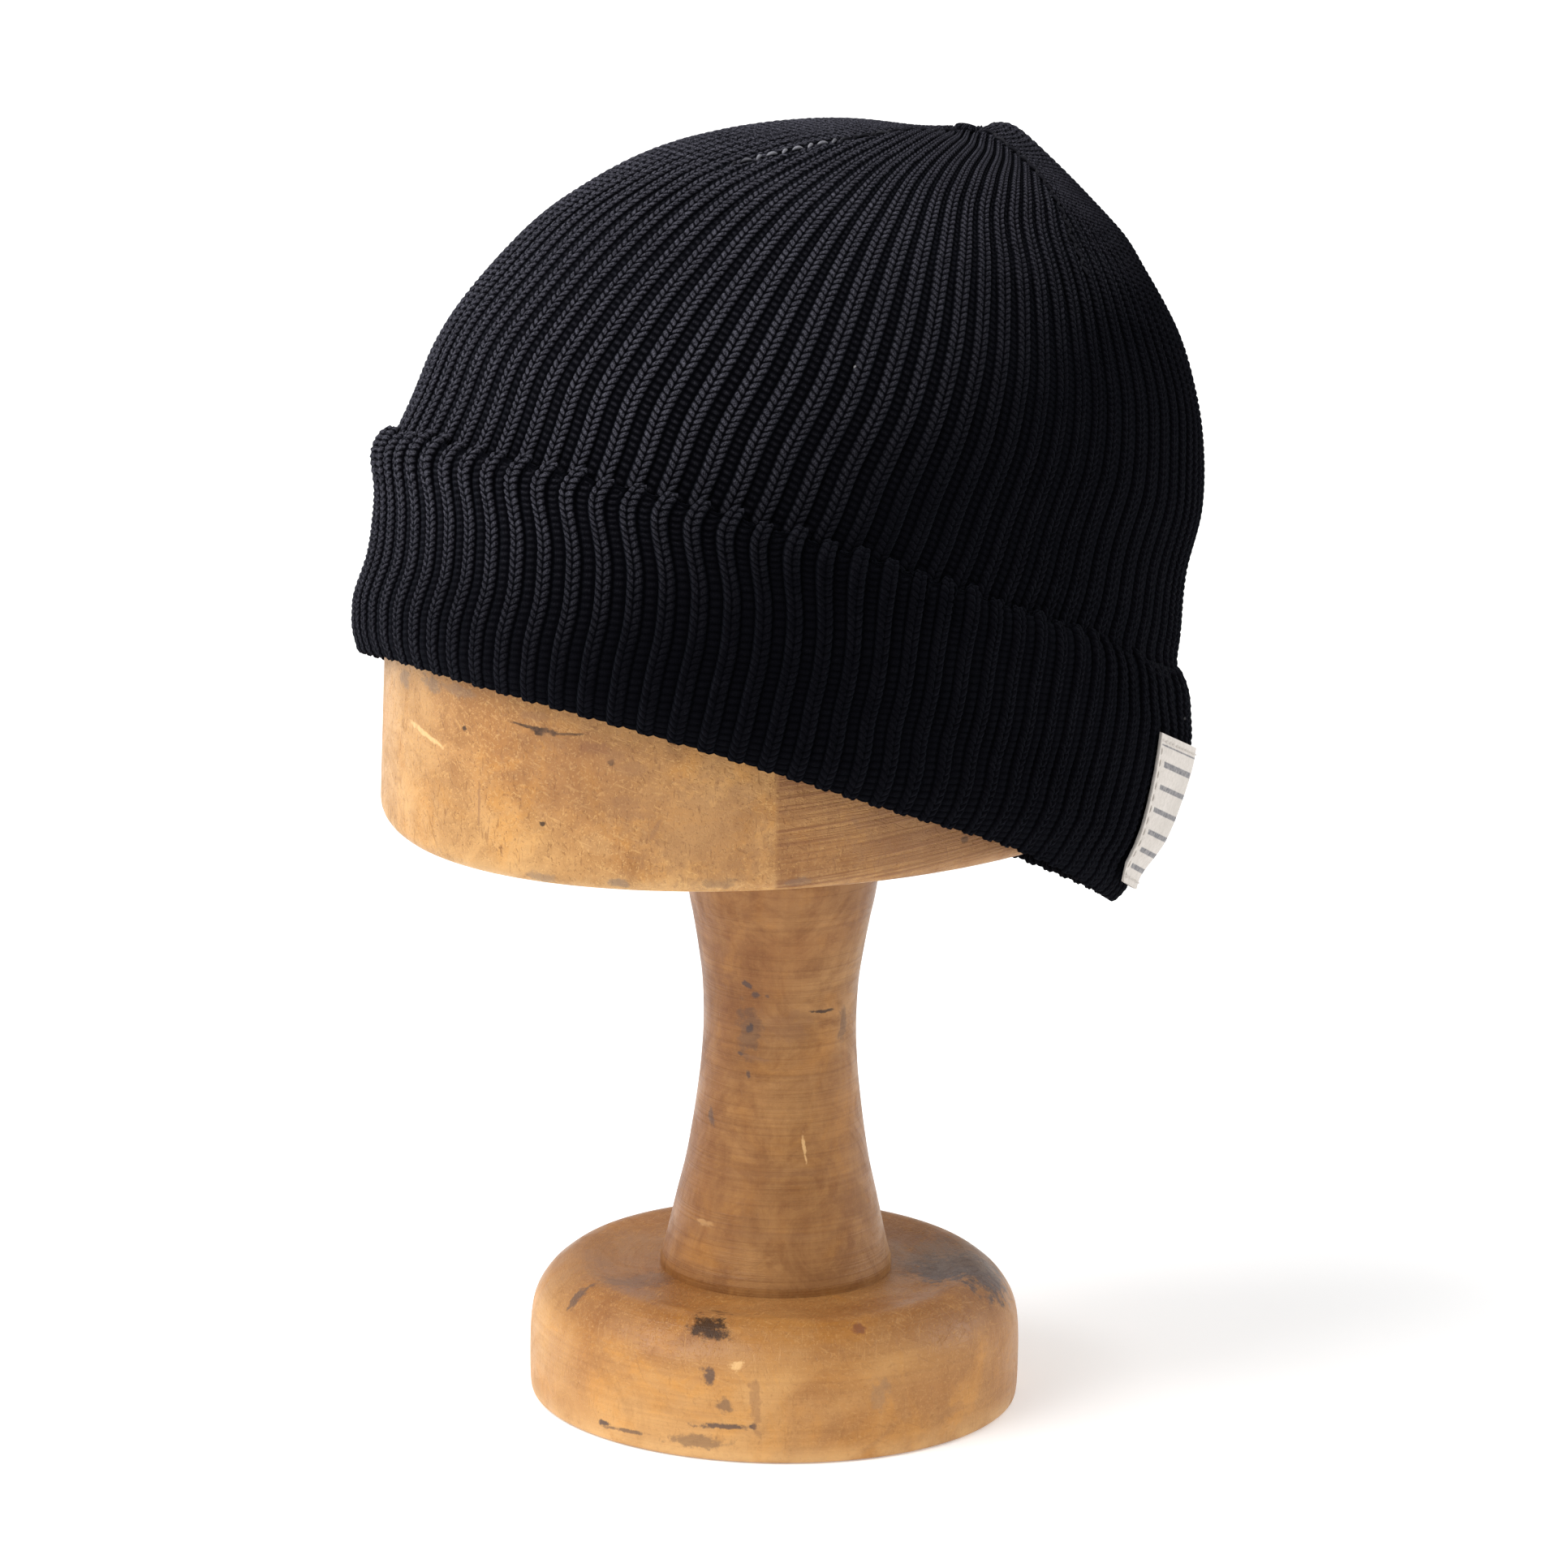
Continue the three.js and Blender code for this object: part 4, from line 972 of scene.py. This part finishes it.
for half, side in enumerate(("left", "right")):
    columns = knit_columns(RIB_COUNT // 2)[None, :] + half * RIB_COUNT // 2
    share = columns / RIB_COUNT
    course = cuff_at[:, None] / COURSE + 0.35 * ripple(share, cuff_at[:, None] * 10, 70)
    sway = 0.05 * ripple(share, cuff_at[:, None] * 8, 71) * np.sin(math.pi * (share * 2 % 1))
    rib = even_rib(columns + sway, fold_length / RIB_COUNT)
    relief = knit_relief(rib, course, -1)
    in_front = soft_step(np.cos(share * math.tau), -0.2, 0.6)
    behind = soft_step(np.cos(share * math.tau), -0.1, -0.6)
    depth = RIB_DEPTH * (1 + EDGE_DEEPENING * edge_zone * in_front - FOLD_FLATTENING * fold_zone)
    here = np.minimum(columns.astype(int), RIB_COUNT - 1)
    crest = np.sin(math.pi * (columns - here)) ** 2
    push = -depth * (1 - relief) + SWELL * ripple(share, cuff_at[:, None] * 7, 72)
    push = push + edge_zone * crest * (KNUCKLE_OUT + KNUCKLE_OUT_SPREAD * knobs[0][here])
    raised = crest * (KNUCKLE_UP + KNUCKLE_UP_SPREAD * knobs[1][here])
    knuckle = edge_zone * (raised - EDGE_DROP - SIDE_DROP * (1 - in_front))
    squeeze = edge_zone * (SIDE_SQUEEZE * (1 - in_front) + BACK_SQUEEZE * behind)
    face = cuff_point(share, rise, lift + push * face_up + knuckle, out + push * face_out - squeeze)
    front = in_cap(face)
    coarse = share[:, ::len(RIB_SAMPLES)]
    back_steps = np.linspace(0, 1, (len(path) - 1) // BACK_STEP + 1)
    spread = [np.interp(back_steps, np.linspace(0, 1, len(back_path)), back_path[:, k])[:, None]
              for k in range(3)]
    spread[2] = spread[2] - squeeze[::BACK_STEP, ::len(RIB_SAMPLES)]
    back = in_cap(cuff_point(coarse, *spread))
    uv = np.stack([rib, course + 0 * columns], axis=-1)
    made = sheet(f"cuff_{side}", front, back, uv, cuff_knit, ["cuff"])


# Inner band
# The tube below the cuff's top edge, between the cuff and the block. It rises from the fold, and its
# ribs show from below and behind, where the cap overhangs the block.
BAND_RISE = 0.92
BAND_SAMPLES = np.array([0, 0.22, 0.36, 0.64, 0.78])
BAND_COURSE_ROWS = 2

band_rows = BACK_STEP * round(BAND_RISE * CUFF_HEIGHT / (COURSE / BAND_COURSE_ROWS) / BACK_STEP)
columns = np.append((np.arange(RIB_COUNT)[:, None] + BAND_SAMPLES).ravel(), RIB_COUNT)[None, :]
share = columns / RIB_COUNT
rise = np.linspace(0, 1, band_rows + 1)[:, None]


def band_point(share, rise, depth):
    """The band's cloth from the fold up, set in from the crown's outer face by a depth."""
    aside = np.minimum(1, np.abs(share * math.tau - SAG_BEARING) / SAG_REACH)
    low = MM - FOLD_SAG * np.cos(aside * math.pi / 2) ** 2
    height = low + (BAND_RISE * CUFF_HEIGHT - low) * rise
    setback, length, width, _ = section_at(crown_run, crown_run[:, 0], height)
    x, y = oval(setback, length - depth, width - depth, even_angle(share))
    return np.stack([x, y, height], axis=-1)


course = rise * BAND_RISE * CUFF_HEIGHT / COURSE + 0 * columns
rib = even_rib(columns + 0 * rise, fold_length / RIB_COUNT)
relief = knit_relief(rib, course, 1)
inner = in_cap(band_point(share, rise, KNIT_WALL - 0.9 * MM * (1 - relief)))
outer = in_cap(band_point(share[:, ::len(BAND_SAMPLES)], rise[::BACK_STEP], 0.1 * MM))
band = sheet("inner_band", inner, outer, np.stack([rib, course], axis=-1), crown_knit, ["crown"])


# Dart seams
# The four darts are linked with the same yarn: a chain of small stitches lies in each seam, paler where
# it is rubbed, and a gathered button of knit closes the apex.
STITCH_PITCH = 2.4 * MM
STITCH_LENGTH = 2.9 * MM
STITCH_RADIUS = 0.42 * MM
STITCH_SINK = 0.55 * MM
CHAIN_LEAN = 0.5
RUBBED_ABOVE_DART = 17 * MM
KNOT_RADIUS = 3.4 * MM
KNOT_HEIGHT = 1.7 * MM
KNOT_SINK = 0.9 * MM
KNOT_ROWS = 7
KNOT_SIDES = 40
STITCH_SIDES = 6
STITCH_GREY = (0.26, 0.26, 0.29, 1)
STITCH_BLACK = (0.006, 0.006, 0.009, 1)


def stitches(name, middles, forward, outward, length, radius, material):
    """Small capsules, one at each middle: rings of a half ellipse's radius along forward, and two tips."""
    forward = forward / np.linalg.norm(forward, axis=1)[:, None]
    sideways = np.cross(forward, outward)
    sideways /= np.linalg.norm(sideways, axis=1)[:, None]
    upward = np.cross(sideways, forward)
    turn = np.arange(STITCH_SIDES) / STITCH_SIDES * math.tau
    along = np.array([-0.42, -0.22, 0.0, 0.22, 0.42])
    girth = np.sqrt(1 - (2 * along) ** 2)
    arch = 0.9 * radius * (1 - (2 * along) ** 2)
    disc = sideways[:, None, None] * np.cos(turn)[None, None, :, None]
    disc = disc + upward[:, None, None] * np.sin(turn)[None, None, :, None]
    rings = middles[:, None, None] + forward[:, None, None] * (along * length)[None, :, None, None]
    rings = rings + upward[:, None, None] * arch[None, :, None, None]
    rings = rings + disc * (radius * girth)[None, :, None, None]
    tips = [middles - forward * length / 2, middles + forward * length / 2]
    one = ring_faces(len(along), STITCH_SIDES)
    size = len(along) * STITCH_SIDES + 2
    rings = rings.reshape(len(middles), -1, 3)
    points = np.concatenate([rings, tips[0][:, None], tips[1][:, None]], axis=1)
    shift = (np.arange(len(middles)) * size)[:, None, None]
    faces = [(group[None] + shift).reshape(-1, group.shape[1]) for group in one]
    return piece(name, points.reshape(-1, 3), faces, material)


thread, shader, start = finish("linking_yarn", 0.85, 0.1)
place = start.add("TexCoord", {}, 3)
rubbed_run = np.array([dart_run + RUBBED_ABOVE_DART])
rubbed_spot = in_cap(crown_point(drifted(0 * rubbed_run, rubbed_run), rubbed_run, 0 * rubbed_run))[0]
away = place.add("VectorMath", {0: place, 1: tuple(rubbed_spot)}, 1, operation="DISTANCE")
rubbed = place.noise(60.0, 3.0, 0.6).step(0.5, 0.64) * 0.12 + away.step(0.016, 0.008)
rubbed = rubbed * (place.noise(1800.0, 3.0, 0.7) * 0.8 + 0.3)
yarn = place.add("Mix", {0: rubbed, 6: STITCH_BLACK, 7: STITCH_GREY}, 2, data_type="RGBA")
bump = start.add("Bump", {"Strength": 0.6, "Distance": 0.0002, "Height": place.noise(2600.0, 3.0, 0.7)})
feed(start, shader, Base_Color=yarn, Normal=bump)

seam_runs = np.arange(dart_run + 6 * MM, crown_end - 4 * MM, STITCH_PITCH)
middles, forwards, outwards = [], [], []
for seam in range(GORES):
    share = drifted(np.full_like(seam_runs, seam / GORES), seam_runs)
    here = crown_point(share, seam_runs, -STITCH_SINK + 0 * seam_runs)
    ahead = crown_point(share, seam_runs + MM, -STITCH_SINK + 0 * seam_runs) - here
    above = crown_point(share, seam_runs, 0 * seam_runs) - here
    side = np.cross(ahead, above)
    side /= np.linalg.norm(side, axis=1)[:, None]
    lean = np.where(np.arange(len(seam_runs)) % 2, CHAIN_LEAN, -CHAIN_LEAN)[:, None]
    middles.append(here)
    forwards.append(ahead / MM + side * lean)
    outwards.append(above)
middles, forwards, outwards = (np.concatenate(part) for part in (middles, forwards, outwards))
stitches("dart_chain_stitches", in_cap(middles), forwards @ tilt.T, outwards @ tilt.T,
         STITCH_LENGTH, STITCH_RADIUS, thread)

apex = crown_point(np.arange(4) / 4, np.full(4, crown_end - APEX_GATHER), np.zeros(4)).mean(axis=0)
dome = np.linspace(0, math.pi / 2, KNOT_ROWS)[:, None]
turn = (np.arange(KNOT_SIDES) / KNOT_SIDES * math.tau)[None, :]
gather = 1 + 0.14 * np.cos(10 * turn) * np.sin(2 * dome)
radius = KNOT_RADIUS * np.cos(dome[:-1]) * gather[:-1]
rings = np.stack([
    apex[0] + radius * np.sin(turn), apex[1] - radius * np.cos(turn),
    apex[2] - KNOT_SINK + KNOT_HEIGHT * np.sin(dome[:-1]) + 0 * turn,
], axis=-1)
poles = [apex - [0, 0, 1.4 * MM], apex + [0, 0, KNOT_HEIGHT - KNOT_SINK]]
points = in_cap(np.vstack([rings.reshape(-1, 3), poles]))
knot_uv = np.stack([
    np.append(np.tile(turn / math.tau * 12, (len(rings), 1)).ravel(), [0, 0]),
    np.append((dome[:-1] * 3 + 0 * turn).ravel(), [0, 4]),
], axis=-1)
piece("apex_gather", points, ring_faces(len(rings), KNOT_SIDES), crown_knit, uv=knot_uv)


# Label
# A strip of unbleached cotton tape, 55 by 34 mm, sewn on the cuff behind the wearer's left ear with a
# running stitch. It carries plain ruled lines.
LABEL_WIDTH = 55 * MM
LABEL_HEIGHT = 34 * MM
LABEL_THICKNESS = 0.7 * MM
LABEL_TURN = 140 / 360
LABEL_SKEW = 4.4 * MM
LABEL_ABOVE_FOLD = 2 * MM
LABEL_GAP = 0.45 * MM
LABEL_GRID = (64, 104)
LABEL_MARGIN = 1.5 * MM
LABEL_STITCH_PITCH = 2.6 * MM
LABEL_STITCH_LENGTH = 1.9 * MM
LABEL_STITCH_RADIUS = 0.2 * MM
LABEL_LINES = [
    # mm above the lower edge, mm from the left, mm long, mm thick
    (31.6, 1.6, 51.8, 0.35), (27.6, 4, 30, 1.3), (22.6, 4, 46, 1.1), (17.4, 3.4, 40, 1.1),
    (12.4, 4, 44, 1.1), (8.2, 4, 26, 1.1), (4.2, 4, 38, 1.1),
]
COTTON = (0.68, 0.63, 0.585, 1)
COTTON_SHADE = (0.42, 0.385, 0.34, 1)
RULED_GREY = (0.085, 0.09, 0.11, 1)

cotton, shader, start = finish("label_cotton", 0.85, 0.15, Sheen_Weight=0.05)
along, up, _ = start.add("UVMap", {}, uv_map="knit").split()
place = start.add("TexCoord", {}, 3)
warp = start.math("SINE", along * 9000.0)
weft = start.math("SINE", up * 7000.0)
weave = warp * weft * 0.5 + 0.5
grain = place.noise(900.0, 3.0, 0.7).step(0.3, 0.75)
colour = start.add("Mix", {0: weave * 0.25 + grain * 0.4, 6: COTTON, 7: COTTON_SHADE}, 2, data_type="RGBA")
colour = colour.tinted(COTTON_SHADE, place.noise(60.0, 3.0, 0.6).step(0.45, 0.75) * 0.35)
for above, left, length, thick in LABEL_LINES:
    ends = start.math("ABSOLUTE", along - (left + length / 2) * MM)
    ends = ends.step((length / 2 + 0.15) * MM, length / 2 * MM)
    sides = start.math("ABSOLUTE", up - above * MM)
    sides = sides.step((thick / 2 + 0.12) * MM, (thick / 2 - 0.12) * MM)
    colour = colour.tinted(RULED_GREY, ends * sides * (grain * 0.35 + 0.6))
bump = start.add("Bump", {"Strength": 0.5, "Distance": 0.00015, "Height": weave + grain * 0.5})
feed(start, shader, Base_Color=colour, Normal=bump)


def label_point(along, up, out):
    """The label's cloth: the cuff's face moved out, a little over each rib and proud at the corners."""
    skew = LABEL_SKEW * (0.5 - up / LABEL_HEIGHT)
    columns = LABEL_TURN + (along + skew - LABEL_WIDTH / 2) / fold_length * CUFF_FLARE
    ride = 0.05 * MM * np.sin(math.tau * columns * RIB_COUNT)
    corner = (2 * along / LABEL_WIDTH - 1) ** 8 * (2 * up / LABEL_HEIGHT - 1) ** 4 * 0.35 * MM
    return in_cap(cuff_point(columns, (LABEL_ABOVE_FOLD + up) / CUFF_HEIGHT, 0 * up, out + ride + corner))


up = np.linspace(0, LABEL_HEIGHT, LABEL_GRID[0] + 1)[:, None]
along = np.linspace(0, LABEL_WIDTH, LABEL_GRID[1] + 1)[None, :]
hem = np.minimum(np.minimum(along, LABEL_WIDTH - along), np.minimum(up, LABEL_HEIGHT - up))
groove = 0.16 * MM * np.exp(-((hem - LABEL_MARGIN) / (0.4 * MM)) ** 2)
face = label_point(along, up, LABEL_GAP + LABEL_THICKNESS - groove)
back = label_point(along[:, ::BACK_STEP], up[::BACK_STEP], LABEL_GAP + 0 * up[::BACK_STEP])
label = sheet("label_tape", face, back, np.stack([along + 0 * up, up + 0 * along], axis=-1),
              cotton, ["label"])

sewn_along = np.arange(LABEL_MARGIN, LABEL_WIDTH - LABEL_MARGIN, LABEL_STITCH_PITCH)
sewn_up = np.arange(LABEL_MARGIN, LABEL_HEIGHT - LABEL_MARGIN, LABEL_STITCH_PITCH)
near = np.full_like(sewn_along, LABEL_MARGIN)
far = np.full_like(sewn_along, LABEL_HEIGHT - LABEL_MARGIN)
first = np.full_like(sewn_up, LABEL_MARGIN)
last = np.full_like(sewn_up, LABEL_WIDTH - LABEL_MARGIN)
sewn = np.array([
    np.concatenate([sewn_along, sewn_along, first, last]),
    np.concatenate([near, far, sewn_up, sewn_up]),
])
step_along = np.repeat([MM / 2, 0], [2 * len(sewn_along), 2 * len(sewn_up)])
step_up = MM / 2 - step_along
height = LABEL_GAP + LABEL_THICKNESS - 0.1 * MM + 0 * sewn[0]
here = label_point(sewn[0], sewn[1], height)
ahead = label_point(sewn[0] + step_along, sewn[1] + step_up, height) - here
above = label_point(sewn[0], sewn[1], height + MM) - here
cream, shader, start = finish("label_thread", 0.6, 0.3)
thread_noise = start.add("TexCoord", {}, 3).noise(1500.0, 3.0, 0.6)
feed(start, shader, Base_Color=start.add(
    "Mix", {0: thread_noise, 6: COTTON, 7: COTTON_SHADE}, 2, data_type="RGBA"))
stitches("label_stitches", here, ahead, above,
         LABEL_STITCH_LENGTH, LABEL_STITCH_RADIUS, cream)


# Studio
# A pale seamless floor in a white room. The floor also glows with painted light of its own, though it is no
# lamp: this lifts its shadows and lights the stand from below. A broad softbox stands high on the viewer's
# left, and a weaker one low on the right behind the stand.
FLOOR_SIZE = 16.0
FLOOR_WHITE = (0.87, 0.87, 0.87, 1)
FLOOR_SHADE = (0.8, 0.8, 0.81, 1)
# Strength of the floor's painted glow, an emission though it is no lamp.
FLOOR_PAINTED_GLOW = 0.3
ROOM_LIGHT = 0.62
AIM_HEIGHT = 0.17
SOFTBOXES = [
    # name, degrees left of the camera, degrees up, metres away, size, watts
    ("key_softbox", 62, 50, 2.6, 2.1, 86),
    ("rim_softbox", -104, 22, 2.2, 1.2, 15),
]

mesh = bpy.data.meshes.new("floor")
half = FLOOR_SIZE / 2
corners = [(-half, -half, 0), (half, -half, 0), (half, half, 0), (-half, half, 0)]
mesh.from_pydata(corners, [], [(0, 1, 2, 3)])
# Painted light: the floor paper glows by a constant emission, though it is no lamp.
paper, shader, start = finish("floor_paper", 0.9, 0.1, Emission_Strength=FLOOR_PAINTED_GLOW)
shader.inputs["Emission Color"].default_value = FLOOR_WHITE
tone = start.add("TexCoord", {}, 3).noise(3.0, 2.0).step(0.2, 0.8)
feed(start, shader, Base_Color=start.add(
    "Mix", {0: tone * 0.1, 6: FLOOR_WHITE, 7: FLOOR_SHADE}, 2, data_type="RGBA"))
mesh.materials.append(paper)
floor = bpy.data.objects.new("floor", mesh)
bpy.context.scene.collection.objects.link(floor)

for name, left, up, distance, size, power in SOFTBOXES:
    light = bpy.data.lights.new(name, "AREA")
    light.size = size
    light.energy = power
    holder = bpy.data.objects.new(name, light)
    away = towards(VIEW_BEARING - math.radians(left), math.radians(up))
    holder.location = Vector((0, 0, AIM_HEIGHT)) + away * distance
    holder.rotation_mode = "QUATERNION"
    holder.rotation_quaternion = (-away).to_track_quat("-Z", "Y")
    bpy.context.scene.collection.objects.link(holder)

world = bpy.data.worlds.new("white_room")
bpy.context.scene.world = world
world.use_nodes = True
sky = Shade(world.node_tree)
seen = sky.add("LightPath", {})
background = world.node_tree.nodes["Background"]
background.inputs["Color"].default_value = (1, 1, 1, 1)
sky.tree.links.new((seen * (1 - ROOM_LIGHT) + ROOM_LIGHT).socket, background.inputs["Strength"])
bpy.context.scene.view_settings.view_transform = "Standard"
